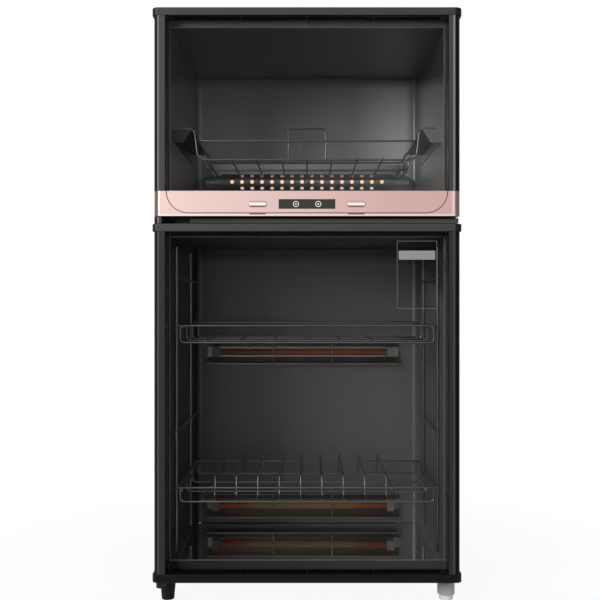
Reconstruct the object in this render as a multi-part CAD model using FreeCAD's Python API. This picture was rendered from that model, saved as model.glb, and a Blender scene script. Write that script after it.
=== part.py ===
import FreeCAD, Part
import math
import os

V = FreeCAD.Vector

# Two-door dish sterilizer cabinet, in millimetres.
# +Z is up, the doors face -Y, and the origin is on the floor under the middle of the cabinet.

# ---- Cabinet and doors ----
DOOR_T = 28.0  # doors from front to back
DOOR_GAP = 5.0  # back of a door to the front of the body
BODY_W = 427.0  # sheet body, side to side
DOOR_OVER = 1.5  # doors stand out past the body at each side
BODY_D = 319.0  # sheet body, front to back
BODY_Z = 36.5  # underside of the body above the floor
BACK_FIELD = 8.0  # raised field of the back panel
LOWER_DOOR_H = 503.0
UPPER_DOOR_H = 292.5
DOORS_APART = 10.5  # gap between the doors, where the centre rail shows
DOOR_CLEAR = 0.5  # door ends to the hinge plates
SHEET = 1.0  # steel sheet of body and rooms
SEAM = 0.2  # gap where two sheets meet edge to edge
FIT = 0.2  # clearance of pieces that are pushed into one another
BEND_R = 4.0  # outer bend of the wrap's top corners

# ---- Rooms ----
WALL_SIDE = 16.5  # body's side to the room
WALL_BACK = 32.0  # body's back to the room
ROOM_R = 12.0  # rounded upright corners at the back
TOP_FLANGE = 18.5  # body top down to the upper room's ceiling
UPPER_FLOOR_UP = 27.5  # upper door's lower edge up to the upper room's floor
LOWER_CEILING = 16.0  # lower door's top down to the lower room's ceiling
SILL_H = 23.1  # body underside up to the lower room's sill
TRAY_H = 19.6  # the lower room's floor lies this far below its sill
FLANGE_W = 14.0  # flange round each room's mouth
MOUTH_STEP = 0.5  # the wrap's front flange stops this far outside the mouth

# ---- Door frames ----
TRIM_W = 16.0
TRIM_FRONT_R = 9.0
TRIM_BACK_R = 6.0
TRIM_WALL = 2.0
CAP_OUT = 2.5  # caps stand out past the trims at each end
CAP_PROUD = 0.5  # and in front of them
TOP_CAP_H = 11.0
LOWER_CAP_H = 10.7  # the lower door's top cap
BOTTOM_CAP_H = 11.8
CAP_WALL = 2.0
CAP_RIBS = 3
CAP_RIB_T = 1.6
TONGUE_L = 10.0  # caps reach into the hollow trims
GLASS_T = 4.0
GLASS_LIP = 1.3  # lip of the trim in front of the glass
GLASS_GRIP = 5.0
GLASS_FIT = 0.2
SEAL_W = 5.5
SEAL_INSET = 1.0  # trim's inner edge to the seal
SEAL_FREE = 0.3  # seal face to the body
SEAL_ROOT_W = 2.5
SEAL_ROOT_D = 2.0
SEAL_ROOT_FIT = 0.15
MAGNET_L = 50.0
MAGNET_T = 4.6
UPPER_CATCH_DOWN = 100.0  # magnets below each door's top
LOWER_CATCH_DOWN = 250.0

# ---- Control band at the foot of the upper door ----
BAND_H = 35.5
BAND_BACKSET = 0.5  # band's face behind the trims' face
BAND_WALL = 2.5
BAND_SHELF = 2.0  # wall under the glass slot
BAND_END = 18.0  # solid ends that carry the hinge bore
BAND_COVER_T = 2.0
INSERT_T = 1.0
INSERT_FOOT = 4.7  # band's bottom edge up to the insert
INSERT_IN = 18.0  # doors' edge to the insert
GROOVE_W = 0.7
INSERT_SEAT = 0.15
BUTTON_X = 69.0
BUTTON_L = 25.7
BUTTON_H = 8.0
BUTTON_END_FLATS = 6
BUTTON_UP = 17.1  # band's bottom edge up to the buttons' middle
BUTTON_PROUD = 0.8
BUTTON_PLAY = 0.3
BUTTON_FLANGE = 1.4
BUTTON_FLANGE_T = 1.0
BUTTON_TRAVEL = 1.2
STEM_R = 1.5
STEM_PLAY = 0.3
WINDOW_W = 79.0
WINDOW_H = 13.2
WINDOW_T = 3.0
SLOT_L = 22.8  # light slot under each button
SLOT_H = 1.6
BOARD_W = 200.0
BOARD_H = 22.0
BOARD_T = 1.6
BOARD_DEPTH = 12.0  # band's face back to the board
SWITCH_S = 6.2
SWITCH_H = 4.5

# ---- Hinges, all on one upright axis at the left ----
PIVOT_IN = 8.0  # axis inside the doors' left edge
PIVOT_BACK = 14.0  # axis behind the doors' front
PIN_R = 3.5
PIN_PLAY = 0.05
PIN_REACH = 8.0
BORE_SPARE = 0.7
TOP_PLATE_T = 2.0
BOTTOM_PLATE_T = 3.0
MIDDLE_PLATE_T = 2.5
PLATE_NOSE_R = 6.0
PLATE_W = 45.0
PLATE_D = 34.0
MIDDLE_PLATE_W = 23.0
MIDDLE_FLANGE_H = 17.0
PIN_HEAD_R = 6.3
PIN_HEAD_H = 6.5
PIN_HEAD_TEETH = 10
COVER_W = 11.0
COVER_WALL = 1.9
COVER_D = 29.0

# ---- Centre rail ----
RAIL_NOSE_H = 7.0
RAIL_SETBACK = 12.0  # doors' front back to the rail's nose
RAIL_WALL = 1.2
RAIL_LEFT = 50.0  # left end inside the doors' edge
RAIL_RIGHT = 1.0
RAIL_NOTCH_IN = 12.0
RAIL_NOTCH_W = 1.2

# ---- Feet ----
FOOT_IN = 11.7  # middles of the feet inside the body's sides
FOOT_FRONT = 14.0  # and behind its front
FOOT_REAR = 22.0
FOOT_R0 = 9.0
FOOT_R1 = 12.2
FOOT_SIDES = 20
PAD_R = 10.0
PAD_H = 7.0
KNOB_R = 12.5
KNOB_H = 17.0
KNOB_RIBS = 14
KNOB_RIB_D = 0.7
KNOB_LIFT = 0.5  # pad to knob
STUD_R = 3.0
STUD_PLAY = 0.06
STUD_TOP = 11.0  # stud above the base
BALL_R = 4.0
BALL_PLAY = 0.05
BALL_D = 4.0
COLLAR_R = 5.2
COLLAR_H = 6.5

# ---- Heaters ----
LOW_HEATER_UP = 34.0  # tray floor up to the tube
MID_HEATER_DOWN = 181.0  # room's ceiling down to the middle tube
TUBE_R = 5.5
TUBE_SHORT = 13.5  # reflector's end to the tube's end
HEATER_X = -7.0  # the lower heaters sit a little left of the middle
REFLECTOR_GAP = 28.5  # room's wall to the reflector, on average
REFLECTOR_H = 42.0
REFLECTOR_FLAT = 18.0
REFLECTOR_D = 16.0
REFLECTOR_T = 0.8
TUBE_OUT = 15.0  # room's back wall to the tube
HOLDER_W = 12.0
HOLDER_S = 16.0
HOLDER_BITE = 8.0  # tube end inside the holder
HOLDER_FIT = 0.15
GUARD_WIRE_R = 1.2
GUARD_PITCH = 102.0
GUARD_OUT = 9.0  # tube's middle to the guard wire

BAR_UP = 62.0  # upper room's floor to the bar's middle
BAR_R = 15.3
BAR_GAP = 47.5  # room's wall to the guard's end
BAR_T = 1.0
BAR_SIDES = 16
BAR_END_R = 12.0
BAR_END_L = 33.0
BAR_END_BITE = 6.0
BAR_OUT = 9.0  # room's back wall to the bar's flat side
BAR_HOLES = 16
BAR_HOLE_IN = 19.0  # guard's end to the first hole
BAR_HOLE_R = 3.0
BAR_SIDE_HOLES = 14
BAR_ROW_TURN = 45.0
BAR_TUBE_R = 5.0
BRACKET_GAP = 19.0  # room's wall to the strip's end
BRACKET_H = 20.0
BRACKET_RISE = 24.0  # bar's middle up to the plate's middle
BRACKET_T = 1.2
BRACKET_ARM_W = 12.0

# ---- Upper basket ----
WIRE_R = 1.5
THIN_R = 1.2
WELD = 0.3  # how far wires that meet side by side are melted into each other
RACK_FRONT = 32.0  # body front back to the baskets' front
BASKET_BACK = 50.0  # room's back wall to the basket's rear
BASKET_SIDE = 31.0  # room's wall to the basket's side
BASKET_TAPER = 5.0  # how much the side leans in
BASKET_UP = 108.0  # room floor up to the hanging wires
BASKET_DEPTH = 48.0
BASKET_RIM_DOWN = 17.5
BASKET_CORNER = 11.0
BASKET_HANGERS = 3
BASKET_FLOOR_WIRES = 9
WING_GAP = 8.0  # room's wall to the end of a hanging wire
HOOP_W = 64.0
HOOP_H = 58.0
HOOP_CORNER = 8.0
LEDGE_IN = 28.0  # ledge from the wall into the room
LEDGE_T = 1.2
LEDGE_FLANGE = 18.0
LEDGE_END_H = 20.0
SLIDE_GAP = 0.3  # wires above the ledge or rail they slide on
LEDGE_SPARE = 6.0

# ---- Lower racks and their side ladders ----
RACK_SIDE = 9.5  # room's wall to the racks' sides
RACK_WING = 3.0  # room's wall to the end of the cross wires
RACK_BACK = 40.0  # room's back wall to the racks' rear
UPPER_RACK_DOWN = 128.3  # room's ceiling down to the cross wires
UPPER_RACK_DEPTH = 25.0
LOWER_RACK_UP = 116.7  # tray floor up to the cross wires
LOWER_RACK_DEPTH = 21.0
RACK_CORNER = 5.0
RACK_HANGERS = 4
RACK_FLOOR_IN = 37.5  # rack's side to the first floor wire
RACK_FLOOR_WIRES = 7
DIVIDERS = 9
DIVIDER_LEFT = 34.0  # rack's sides to the row of dividers
DIVIDER_RIGHT = 53.0
DIVIDER_H = 34.0
DIVIDER_IN = 14.0
DIVIDER_SLOPE = 10.0
LADDER_R = 2.0
LADDER_FRONT = 47.0  # body front back to the front upright
LADDER_REAR = 84.0  # room's back wall to the rear upright
LADDER_RAIL_START = 30.0  # body front back to the rails
LADDER_RAIL_END = 35.0  # room's back wall to the rails
LADDER_WALL_GAP = 0.5
LADDER_SPARE_UP = 202.0  # further rails for other rack heights
LADDER_SPARE_DOWN = 55.0
LADDER_TOP_GAP = 12.0
LADDER_FOOT_GAP = 18.0

# ---- Electrical pieces and insulation ----
INSULATION_T = 12.0
INSULATION_GAP = 0.8
INSULATION_BACK_T = 8.0
INSULATION_FOOT = 30.0  # sill up to the lower mat
OZONE_W = 90.0
OZONE_H = 40.0
OZONE_D = 16.0
OZONE_IN = 87.0  # room's right wall to the generator's middle
OZONE_UP = 24.0
CUTOUT_R = 8.0
CUTOUT_H = 6.0
CUTOUT_X = 60.0
POWER_W = 150.0
POWER_H = 90.0
POWER_UP = 153.5  # body's underside up to the board's middle
POWER_T = 1.6
POWER_EDGE = 12.0
POST_IN = 6.0
TRANSFORMER_W = 30.0
TRANSFORMER_H = 36.0
RELAY_W = 18.0
RELAY_H = 24.0
RELAY_GAP = 8.0
TERMINALS_W = 32.0
TERMINALS_H = 12.0
MAINS_PARTS_D = 10.0
POST_W = 6.0
POWER_GAP = 9.0  # board to the back panel's flat sheet
GLAND_R = 8.0
GLAND_BORE_R = 3.6
GLAND_OUT = 6.0
GLAND_IN = 63.5  # body's left side to the gland
GLAND_UP = 28.0
REED_L = 26.0
REED_W = 9.0
REED_T = 6.0
FIELD_SIDE = 28.5  # body's sides to the raised field
FIELD_Z0 = 64.0  # body underside up to the raised field
FIELD_TOP = 30.0
FIELD_SLOPE = 8.0
BACK_RIM = 12.0  # rear flange of the wrap
VENTS = 5
VENT_L = 32.0
VENT_H = 4.0
VENT_PITCH = 42.0
VENT_IN = 30.0  # raised field's edges to its vents

# ---- Places worked out from the sizes above ----
FRONT_Y = -(DOOR_T + DOOR_GAP + BODY_D + BACK_FIELD) / 2
TRIM_Y = FRONT_Y + CAP_PROUD
DOOR_BACK_Y = FRONT_Y + DOOR_T
BODY_Y0 = DOOR_BACK_Y + DOOR_GAP
BODY_Y1 = BODY_Y0 + BODY_D
LOW_Z0 = BODY_Z + DOOR_CLEAR
LOW_Z1 = LOW_Z0 + LOWER_DOOR_H
UP_Z0 = LOW_Z1 + DOORS_APART
UP_Z1 = UP_Z0 + UPPER_DOOR_H
BODY_Z1 = UP_Z1 + DOOR_CLEAR
GAP_Z = (LOW_Z1 + UP_Z0) / 2
BODY_X = BODY_W / 2
DOOR_X = BODY_X + DOOR_OVER
TRIM_X = DOOR_X - TRIM_W
ROOM_X = BODY_X - WALL_SIDE
MOUTH_X = ROOM_X + MOUTH_STEP
MOUTH_Y = BODY_Y0 + SHEET  # front face of the rooms' flanges
ROOM_Y1 = BODY_Y1 - WALL_BACK
CEILING_Z = BODY_Z1 - TOP_FLANGE
FLOOR_Z = UP_Z0 + UPPER_FLOOR_UP
LOWER_TOP_Z = LOW_Z1 - LOWER_CEILING
SILL_Z = BODY_Z + SILL_H
TRAY_Z = SILL_Z - TRAY_H
GLASS_Y0 = TRIM_Y + GLASS_LIP
GLASS_Y1 = GLASS_Y0 + GLASS_T
GLASS_X = TRIM_X + GLASS_GRIP
CHAMBER_X0 = TRIM_X + TRIM_WALL
CHAMBER_X1 = DOOR_X - TRIM_WALL
CHAMBER_Y0 = GLASS_Y1 + GLASS_FIT + TRIM_WALL
CHAMBER_Y1 = DOOR_BACK_Y - SEAL_ROOT_D - TRIM_WALL
SEAL_X0 = TRIM_X + SEAL_INSET
SEAL_X1 = SEAL_X0 + SEAL_W
PIVOT_X = -(DOOR_X - PIVOT_IN)
PIVOT_Y = FRONT_Y + PIVOT_BACK
BAND_Z1 = UP_Z0 + BAND_H
BAND_Y = TRIM_Y + BAND_BACKSET
BUTTON_Z = UP_Z0 + BUTTON_UP
BOARD_Y = BAND_Y + BOARD_DEPTH
FOOT_X = BODY_X - FOOT_IN
FOOT_Y0 = BODY_Y0 + FOOT_FRONT
FOOT_Y1 = BODY_Y1 - FOOT_REAR
RACK_Y0 = BODY_Y0 + RACK_FRONT
RACK_Y1 = ROOM_Y1 - RACK_BACK
RACK_X = ROOM_X - RACK_SIDE
BASKET_Y1 = ROOM_Y1 - BASKET_BACK
BASKET_X = ROOM_X - BASKET_SIDE
LOWER_ROOM_H = LOWER_TOP_Z - TRAY_Z
UPPER_RACK_UP = LOWER_ROOM_H - UPPER_RACK_DOWN
MID_HEATER_UP = LOWER_ROOM_H - MID_HEATER_DOWN
REFLECTOR_L = 2 * (ROOM_X - REFLECTOR_GAP)
TUBE_L = REFLECTOR_L - 2 * TUBE_SHORT
BAR_L = 2 * (ROOM_X - BAR_GAP)
BAR_HOLE_PITCH = (BAR_L - 2 * BAR_HOLE_IN) / (BAR_HOLES - 1)
BAR_ROOM_R = (BAR_R - 1.4 * BAR_T) * math.cos(2 * math.pi / BAR_SIDES)  # half as many flats inside
BRACKET_L = 2 * (ROOM_X - BRACKET_GAP)
OZONE_X = ROOM_X - OZONE_IN
GLAND_X = GLAND_IN - BODY_X
POWER_Z = BODY_Z + POWER_UP
BACK_SHEET_Y = BODY_Y1 - SHEET


# ---- Shape helpers ----
def box(x0, x1, y0, y1, z0, z1):
    return Part.makeBox(x1 - x0, y1 - y0, z1 - z0, V(x0, y0, z0))


def cyl(r, base, top):
    axis = top - base
    return Part.makeCylinder(r, axis.Length, base, axis)


def prism(points, along):
    """Extrude the closed outline through points by the vector along."""
    outline = Part.makePolygon(list(points) + [points[0]])
    return Part.Face(outline).extrude(along)


def bar(r, a, b, sides=6):
    """Straight bar with flats at radius r, one of them facing up, or forward on an upright bar."""
    return bent_bar(r, [a, b], sides)


def bent_bar(r, points, sides=6):
    """Bar bent to the corners in points, mitred at each; all its points lie in one plane."""
    first = points[1] - points[0]
    upright = first.cross(V(0, 0, 1)).Length < 1e-6
    across = first.cross(V(0, 1, 0) if upright else V(0, 0, 1))
    for p in points[2:]:
        turn = first.cross(p - points[0])
        if turn.Length > 1e-6:
            across = turn
    across.normalize()
    up = across.cross(first)
    up.normalize()
    corner = r / math.cos(math.pi / sides)
    ring = []
    for i in range(sides):
        t = 2 * math.pi * (i + 0.5) / sides
        ring.append(points[0] + up * (corner * math.cos(t)) + across * (corner * math.sin(t)))
    section = Part.makePolygon(ring + [ring[0]])
    if len(points) == 2:
        return Part.Face(section).extrude(first)
    sweep = Part.BRepOffsetAPI.MakePipeShell(Part.makePolygon(points))
    sweep.setTransitionMode(1)
    sweep.add(section)
    sweep.build()
    sweep.makeSolid()
    return sweep.shape()


def fuse(shapes):
    first, rest = shapes[0], shapes[1:]
    if not rest:
        return first
    return first.multiFuse(rest).removeSplitter()


def cut(shape, tools):
    return shape.cut(Part.makeCompound(list(tools))) if tools else shape


def frustum(ring, end):
    """Solid between two flat rings with as many corners, joined by flat sides."""
    n = len(ring)
    sides = [[ring[i], ring[(i + 1) % n], end[(i + 1) % n], end[i]] for i in range(n)]
    faces = [Part.Face(Part.makePolygon(side + [side[0]])) for side in [ring, end] + sides]
    return Part.Solid(Part.Shell(faces))


def star(foot, r, depth, teeth, height):
    """Upright grip with a ring of pointed ribs."""
    points = []
    for i in range(2 * teeth):
        rr = r if i % 2 else r - depth
        t = math.pi * i / teeth
        points.append(foot + V(rr * math.cos(t), rr * math.sin(t), 0))
    return prism(points, V(0, 0, height))


def flipped(shape):
    """The same shape on the other side of the middle plane."""
    return shape.mirror(V(0, 0, 0), V(1, 0, 0))


def rounded_outline(x0, x1, y0, y1, radii):
    """Closed outline in the XY plane; radii go front left, front right, back right, back left."""
    fl, fr, br, bl = radii
    h = math.sqrt(0.5)
    corners = [
        (V(x0 + fl, y0 + fl, 0), fl, (-1, 0), (0, -1)),
        (V(x1 - fr, y0 + fr, 0), fr, (0, -1), (1, 0)),
        (V(x1 - br, y1 - br, 0), br, (1, 0), (0, 1)),
        (V(x0 + bl, y1 - bl, 0), bl, (0, 1), (-1, 0)),
    ]
    edges = []
    ends = []
    for centre, r, a, b in corners:
        start = centre + V(a[0] * r, a[1] * r, 0)
        end = centre + V(b[0] * r, b[1] * r, 0)
        mid = centre + V((a[0] + b[0]) * r * h, (a[1] + b[1]) * r * h, 0)
        if r > 0:
            edges.append(Part.Arc(start, mid, end).toShape())
        ends.append((start, end))
    for i in range(4):
        a, b = ends[i][1], ends[(i + 1) % 4][0]
        if a.distanceToPoint(b) > 1e-6:
            edges.append(Part.LineSegment(a, b).toShape())
    return Part.Wire(Part.__sortEdges__(edges))


def rounded_block(x0, x1, y0, y1, z0, z1, radii):
    """Upright block with rounded upright edges."""
    face = Part.Face(rounded_outline(x0, x1, y0, y1, radii))
    face.translate(V(0, 0, z0))
    return face.extrude(V(0, 0, z1 - z0))


def rounded_plate(x0, x1, z0, z1, y0, y1, radii):
    """Plate in the XZ plane; radii go bottom left, bottom right, top right, top left."""
    face = Part.Face(rounded_outline(x0, x1, z0, z1, radii))
    face.rotate(V(0, 0, 0), V(1, 0, 0), 90)
    face.translate(V(0, y1, 0))
    return face.extrude(V(0, y0 - y1, 0))


# ---- Body ----
def wrap_outline(inset, z_low):
    """Arch of the body's front view, inset by so much at its sides and top."""
    x = BODY_X - inset
    r = max(BEND_R - inset, 0.5)
    return (-x, x, z_low, BODY_Z1 - inset), (0, 0, r, r)


def arch(inset, z_low, y0, y1):
    (x0, x1, z0, z1), radii = wrap_outline(inset, z_low)
    return rounded_plate(x0, x1, z0, z1, y0, y1, radii)


def outer_wrap():
    y_back = BACK_SHEET_Y
    shell = arch(0, BODY_Z, BODY_Y0, y_back).cut(arch(SHEET, BODY_Z - 1, MOUTH_Y, y_back - SHEET))
    mouth = box(-MOUTH_X, MOUTH_X, BODY_Y0 - 1, MOUTH_Y + 1, BODY_Z - 1, CEILING_Z + MOUTH_STEP)
    rear = arch(BACK_RIM, BODY_Z - 1, y_back - SHEET - 1, y_back + 1)
    shell = shell.cut(mouth).cut(rear)
    return shell


def base_plate():
    x = BODY_X - SHEET - SEAM
    y0 = MOUTH_Y + SEAM
    y1 = BACK_SHEET_Y - SHEET - SEAM
    pan = box(-x, x, y0, y1, BODY_Z, BODY_Z + SHEET)
    rim_h = SILL_H * 0.6
    sides = [
        box(-x, -x + SHEET, y0, y1, BODY_Z, BODY_Z + rim_h),
        box(x - SHEET, x, y0, y1, BODY_Z, BODY_Z + rim_h),
        box(-x, x, y1 - SHEET, y1, BODY_Z, BODY_Z + rim_h),
    ]
    lip_x = MOUTH_X - SEAM
    lip = box(-lip_x, lip_x, BODY_Y0, MOUTH_Y, BODY_Z, SILL_Z - MOUTH_STEP)
    tie = box(-lip_x, lip_x, BODY_Y0, y0 + SHEET, BODY_Z, BODY_Z + SHEET)
    stud = V(FOOT_X, FOOT_Y0, BODY_Z)
    collar = bar(COLLAR_R, stud - V(0, 0, COLLAR_H), stud + V(0, 0, SHEET), 12)
    pan = fuse([pan, lip, tie, collar] + sides)
    holes = [cyl(STUD_R + STUD_PLAY, V(FOOT_X, FOOT_Y0, 0), V(FOOT_X, FOOT_Y0, BODY_Z + 9))]
    for i in range(VENTS):
        x = (i - (VENTS - 1) / 2) * VENT_PITCH
        y = BACK_SHEET_Y - FOOT_REAR
        holes.append(box(x - VENT_L / 2, x + VENT_L / 2, y, y + VENT_H, BODY_Z - 1, BODY_Z + SHEET + 1))
    return cut(pan, holes)


def field_block(grow, out):
    """Raised field of the back panel as a tapered block."""
    x = BODY_X - FIELD_SIDE + grow
    z0 = BODY_Z + FIELD_Z0 - grow
    z1 = BODY_Z1 - FIELD_TOP + grow
    y = BODY_Y1 - out
    low = [V(-x, y, z0), V(x, y, z0), V(x, y, z1), V(-x, y, z1)]
    s = FIELD_SLOPE
    high = [V(-x + s, y, z0 + s), V(x - s, y, z0 + s), V(x - s, y, z1 - s), V(-x + s, y, z1 - s)]
    high = [p + V(0, BACK_FIELD, 0) for p in high]
    return frustum(low, high)


def back_panel():
    (x0, x1, z0, z1), radii = wrap_outline(0, BODY_Z)
    panel = rounded_plate(x0, x1, z0, z1, BACK_SHEET_Y, BODY_Y1, radii)
    panel = panel.fuse(field_block(0, SHEET)).fuse(field_block(0, 0))
    panel = panel.cut(field_block(-SHEET, SHEET))
    h = POST_W / 2
    y1 = BODY_Y1 + BACK_FIELD - SHEET / 2
    posts = [box(x - h, x + h, POWER_Y1, y1, z - h, z + h) for x, z in post_places()]
    panel = fuse([panel] + posts)
    gland = V(GLAND_X, BODY_Y1 + 1, BODY_Z + GLAND_UP)
    tools = [bar(GLAND_R - 2 + FIT, gland, gland - V(0, SHEET + 2, 0))]
    for z in (BODY_Z + FIELD_Z0 + VENT_IN, BODY_Z1 - FIELD_TOP - VENT_IN):
        for i in range(VENTS):
            x = (i - (VENTS - 1) / 2) * VENT_PITCH
            y = BODY_Y1 + BACK_FIELD
            tools.append(box(x - VENT_L / 2, x + VENT_L / 2, y - SHEET - 1, y + 1, z, z + VENT_H))
    return cut(panel, tools)


def post_places():
    x, z = POWER_W / 2 - POST_IN, POWER_H / 2 - POST_IN
    return [(sx * x, POWER_Z + sz * z) for sx in (-1, 1) for sz in (-1, 1)]


def room_block(grow, z0, z1, y1):
    """Solid the size of a room, grown by the sheet for its outside."""
    x = ROOM_X + grow
    r = ROOM_R + grow
    return rounded_block(-x, x, MOUTH_Y, y1 + grow, z0 - grow, z1 + grow, (0, 0, r, r))


def liner(z0, z1, mouth_z0, flange_z0, flange_z1):
    shell = room_block(SHEET, z0, z1, ROOM_Y1)
    flange_x = min(ROOM_X + FLANGE_W, BODY_X - SHEET - SEAM)
    flange = box(-flange_x, flange_x, MOUTH_Y, MOUTH_Y + SHEET, flange_z0, flange_z1)
    shell = fuse([shell, flange])
    shell = shell.cut(room_block(0, z0, z1, ROOM_Y1))
    if mouth_z0 > z0:
        sill = box(-ROOM_X, ROOM_X, MOUTH_Y, MOUTH_Y + SHEET, z0 - SHEET / 2, mouth_z0)
        shell = shell.fuse(sill)
    return shell.removeSplitter()


def upper_liner():
    top = min(CEILING_Z + FLANGE_W, BODY_Z1 - SHEET - SEAM)
    shell = liner(FLOOR_Z, CEILING_Z, FLOOR_Z, GAP_Z + SEAM * 5, top)
    tools = []
    for i in range(5):
        x = OZONE_X - OZONE_W / 4 + i * OZONE_W / 8
        z = FLOOR_Z + OZONE_UP
        tools.append(box(x, x + 3, ROOM_Y1 - 1, ROOM_Y1 + SHEET + 1, z - 8, z + 8))
    return cut(shell, tools)


def lower_liner():
    top = min(LOWER_TOP_Z + FLANGE_W, GAP_Z - SEAM * 5)
    return liner(TRAY_Z, LOWER_TOP_Z, SILL_Z, BODY_Z + SHEET + SEAM, top)


def centre_rail():
    web_x = MOUTH_X - SEAM
    web = box(-web_x, web_x, BODY_Y0, MOUTH_Y, LOWER_TOP_Z + MOUTH_STEP, FLOOR_Z - MOUTH_STEP)
    x0 = -DOOR_X + RAIL_LEFT
    x1 = DOOR_X - RAIL_RIGHT
    h = RAIL_NOSE_H / 2
    y0 = FRONT_Y + RAIL_SETBACK
    nose = box(x0, x1, y0, BODY_Y0, GAP_Z - h, GAP_Z + h)
    w = RAIL_WALL
    hollow = box(x0 - 1, x1 - w, y0 + w, BODY_Y0 - w, GAP_Z - h + w, GAP_Z + h - w)
    notch_x = x0 + RAIL_NOTCH_IN
    notch = box(notch_x, notch_x + RAIL_NOTCH_W, y0 - 1, y0 + w / 2, GAP_Z - h - 1, GAP_Z + h + 1)
    rail = fuse([web, nose]).cut(hollow).cut(notch)
    return rail


def insulation():
    """Mineral mats folded round the two rooms: sides and back, over the top of the upper one."""
    x0 = ROOM_X + SHEET + INSULATION_GAP
    x1 = min(x0 + INSULATION_T, BODY_X - SHEET - SEAM)
    y0 = MOUTH_Y + FLANGE_W
    y1 = ROOM_Y1 + SHEET + INSULATION_GAP
    mats = []
    top = CEILING_Z + SHEET + INSULATION_GAP
    low = FLOOR_Z + OZONE_UP + OZONE_H / 2 + INSULATION_GAP
    for z0, z1, roof in ((low, top, True), (SILL_Z + INSULATION_FOOT, LOWER_TOP_Z - INSULATION_T, False)):
        z2 = min(z1 + INSULATION_T, BODY_Z1 - SHEET - SEAM) if roof else z1
        mat = box(-x1, x1, y0, y1 + INSULATION_BACK_T, z0, z2)
        core = box(-x0, x0, y0 - 1, y1, z0 - 1, z1 if roof else z1 + 1)
        mats.append(cut(mat, [core] + cutout_pockets()))
    return mats


# ---- Hinges ----
def flat_plate(z0, t, right_taper):
    """Hinge plate that reaches from the body to the pivot, with a chamfered nose."""
    x0 = PIVOT_X - PLATE_NOSE_R
    x1 = x0 + PLATE_W
    y1 = BODY_Y0 + PLATE_D
    y_body = BODY_Y0 + SHEET
    n = PLATE_NOSE_R * 0.42
    points = [
        V(x0, PIVOT_Y - n, z0),
        V(PIVOT_X - n, PIVOT_Y - PLATE_NOSE_R, z0),
        V(PIVOT_X + PLATE_NOSE_R, PIVOT_Y - PLATE_NOSE_R, z0),
        V(x1 - right_taper, PIVOT_Y + right_taper / 3, z0),
        V(x1, y_body, z0),
        V(x1, y1, z0),
        V(x0, y1, z0),
    ]
    return prism(points, V(0, 0, t))


def hinge_pin(z0, z1):
    return cyl(PIN_R, V(PIVOT_X, PIVOT_Y, z0), V(PIVOT_X, PIVOT_Y, z1))


def top_hinge_plate():
    plate = flat_plate(BODY_Z1, TOP_PLATE_T, 14)
    return fuse([plate, hinge_pin(UP_Z1 - PIN_REACH, BODY_Z1 + TOP_PLATE_T / 2)])


def bottom_hinge_plate():
    z0 = BODY_Z - BOTTOM_PLATE_T
    plate = flat_plate(z0, BOTTOM_PLATE_T, 14)
    clear = FOOT_R1 + 1
    notch = box(-FOOT_X - clear, -FOOT_X + clear, FOOT_Y0 - clear, FOOT_Y0 + 2 * clear, z0 - 1, BODY_Z + 1)
    return fuse([plate.cut(notch), hinge_pin(BODY_Z, LOW_Z0 + PIN_REACH), pin_head()])


def middle_hinge_plate():
    """Angle bracket between the doors with a pin up and a pin down."""
    t = MIDDLE_PLATE_T
    x0 = PIVOT_X - PLATE_NOSE_R
    x1 = x0 + MIDDLE_PLATE_W
    z0 = GAP_Z - t / 2
    n = PLATE_NOSE_R * 0.42
    points = [
        V(x0, PIVOT_Y - n, z0),
        V(PIVOT_X - n, PIVOT_Y - PLATE_NOSE_R, z0),
        V(PIVOT_X + n, PIVOT_Y - PLATE_NOSE_R, z0),
        V(PIVOT_X + PLATE_NOSE_R, PIVOT_Y - n, z0),
        V(x1, BODY_Y0 - 2 * t, z0),
        V(x1, BODY_Y0, z0),
        V(x0, BODY_Y0, z0),
    ]
    flange = box(x0, x1, BODY_Y0 - t, BODY_Y0, z0, z0 + MIDDLE_FLANGE_H)
    return fuse([prism(points, V(0, 0, t)), flange, hinge_pin(LOW_Z1 - PIN_REACH, UP_Z0 + PIN_REACH)])


def pin_head():
    """Knurled head of the bottom pin."""
    z0 = BODY_Z - BOTTOM_PLATE_T - PIN_HEAD_H
    return star(V(PIVOT_X, PIVOT_Y, z0), PIN_HEAD_R, 0.8, PIN_HEAD_TEETH, PIN_HEAD_H)


def hinge_cover():
    """Rounded cover that carries the trims' edge across the gap between the doors."""
    z0 = LOW_Z1 + DOOR_CLEAR
    z1 = UP_Z0 - DOOR_CLEAR
    x0 = -DOOR_X
    x1 = x0 + COVER_W
    y1 = TRIM_Y + COVER_D
    w = COVER_WALL
    cover = rounded_block(x0, x1, TRIM_Y, y1, z0, z1, (TRIM_FRONT_R, 0, 0, 0))
    rib_y = PIVOT_Y - PLATE_NOSE_R - FIT
    hollow = box(x0 + w, x1 + 1, rib_y, y1 + 1, z0 - 1, z1 + 1)
    return cut(cover, [hollow])


# ---- Doors ----
def door_ring(x0, x1, z_low, z_high, y0, y1):
    """Frame whose runs are x1 - x0 wide, with its middle lines at z_low and z_high."""
    h = (x1 - x0) / 2
    outer = box(-x1, x1, y0, y1, z_low - h, z_high + h)
    return outer.cut(box(-x0, x0, y0 - 1, y1 + 1, z_low + h, z_high - h))


def seal_lines(upper):
    """Heights of the seal's lower and upper run."""
    if upper:
        return UP_Z0 + BAND_H / 2, UP_Z1 - TOP_CAP_H / 2
    return LOW_Z0 + BOTTOM_CAP_H / 2, LOW_Z1 - LOWER_CAP_H / 2


def seal_root(upper, spare):
    low, high = seal_lines(upper)
    side = (SEAL_W - SEAL_ROOT_W) / 2 - spare
    y0 = DOOR_BACK_Y - SEAL_ROOT_D - spare
    return door_ring(SEAL_X0 + side, SEAL_X1 - side, low, high, y0, DOOR_BACK_Y + 0.5)


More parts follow.
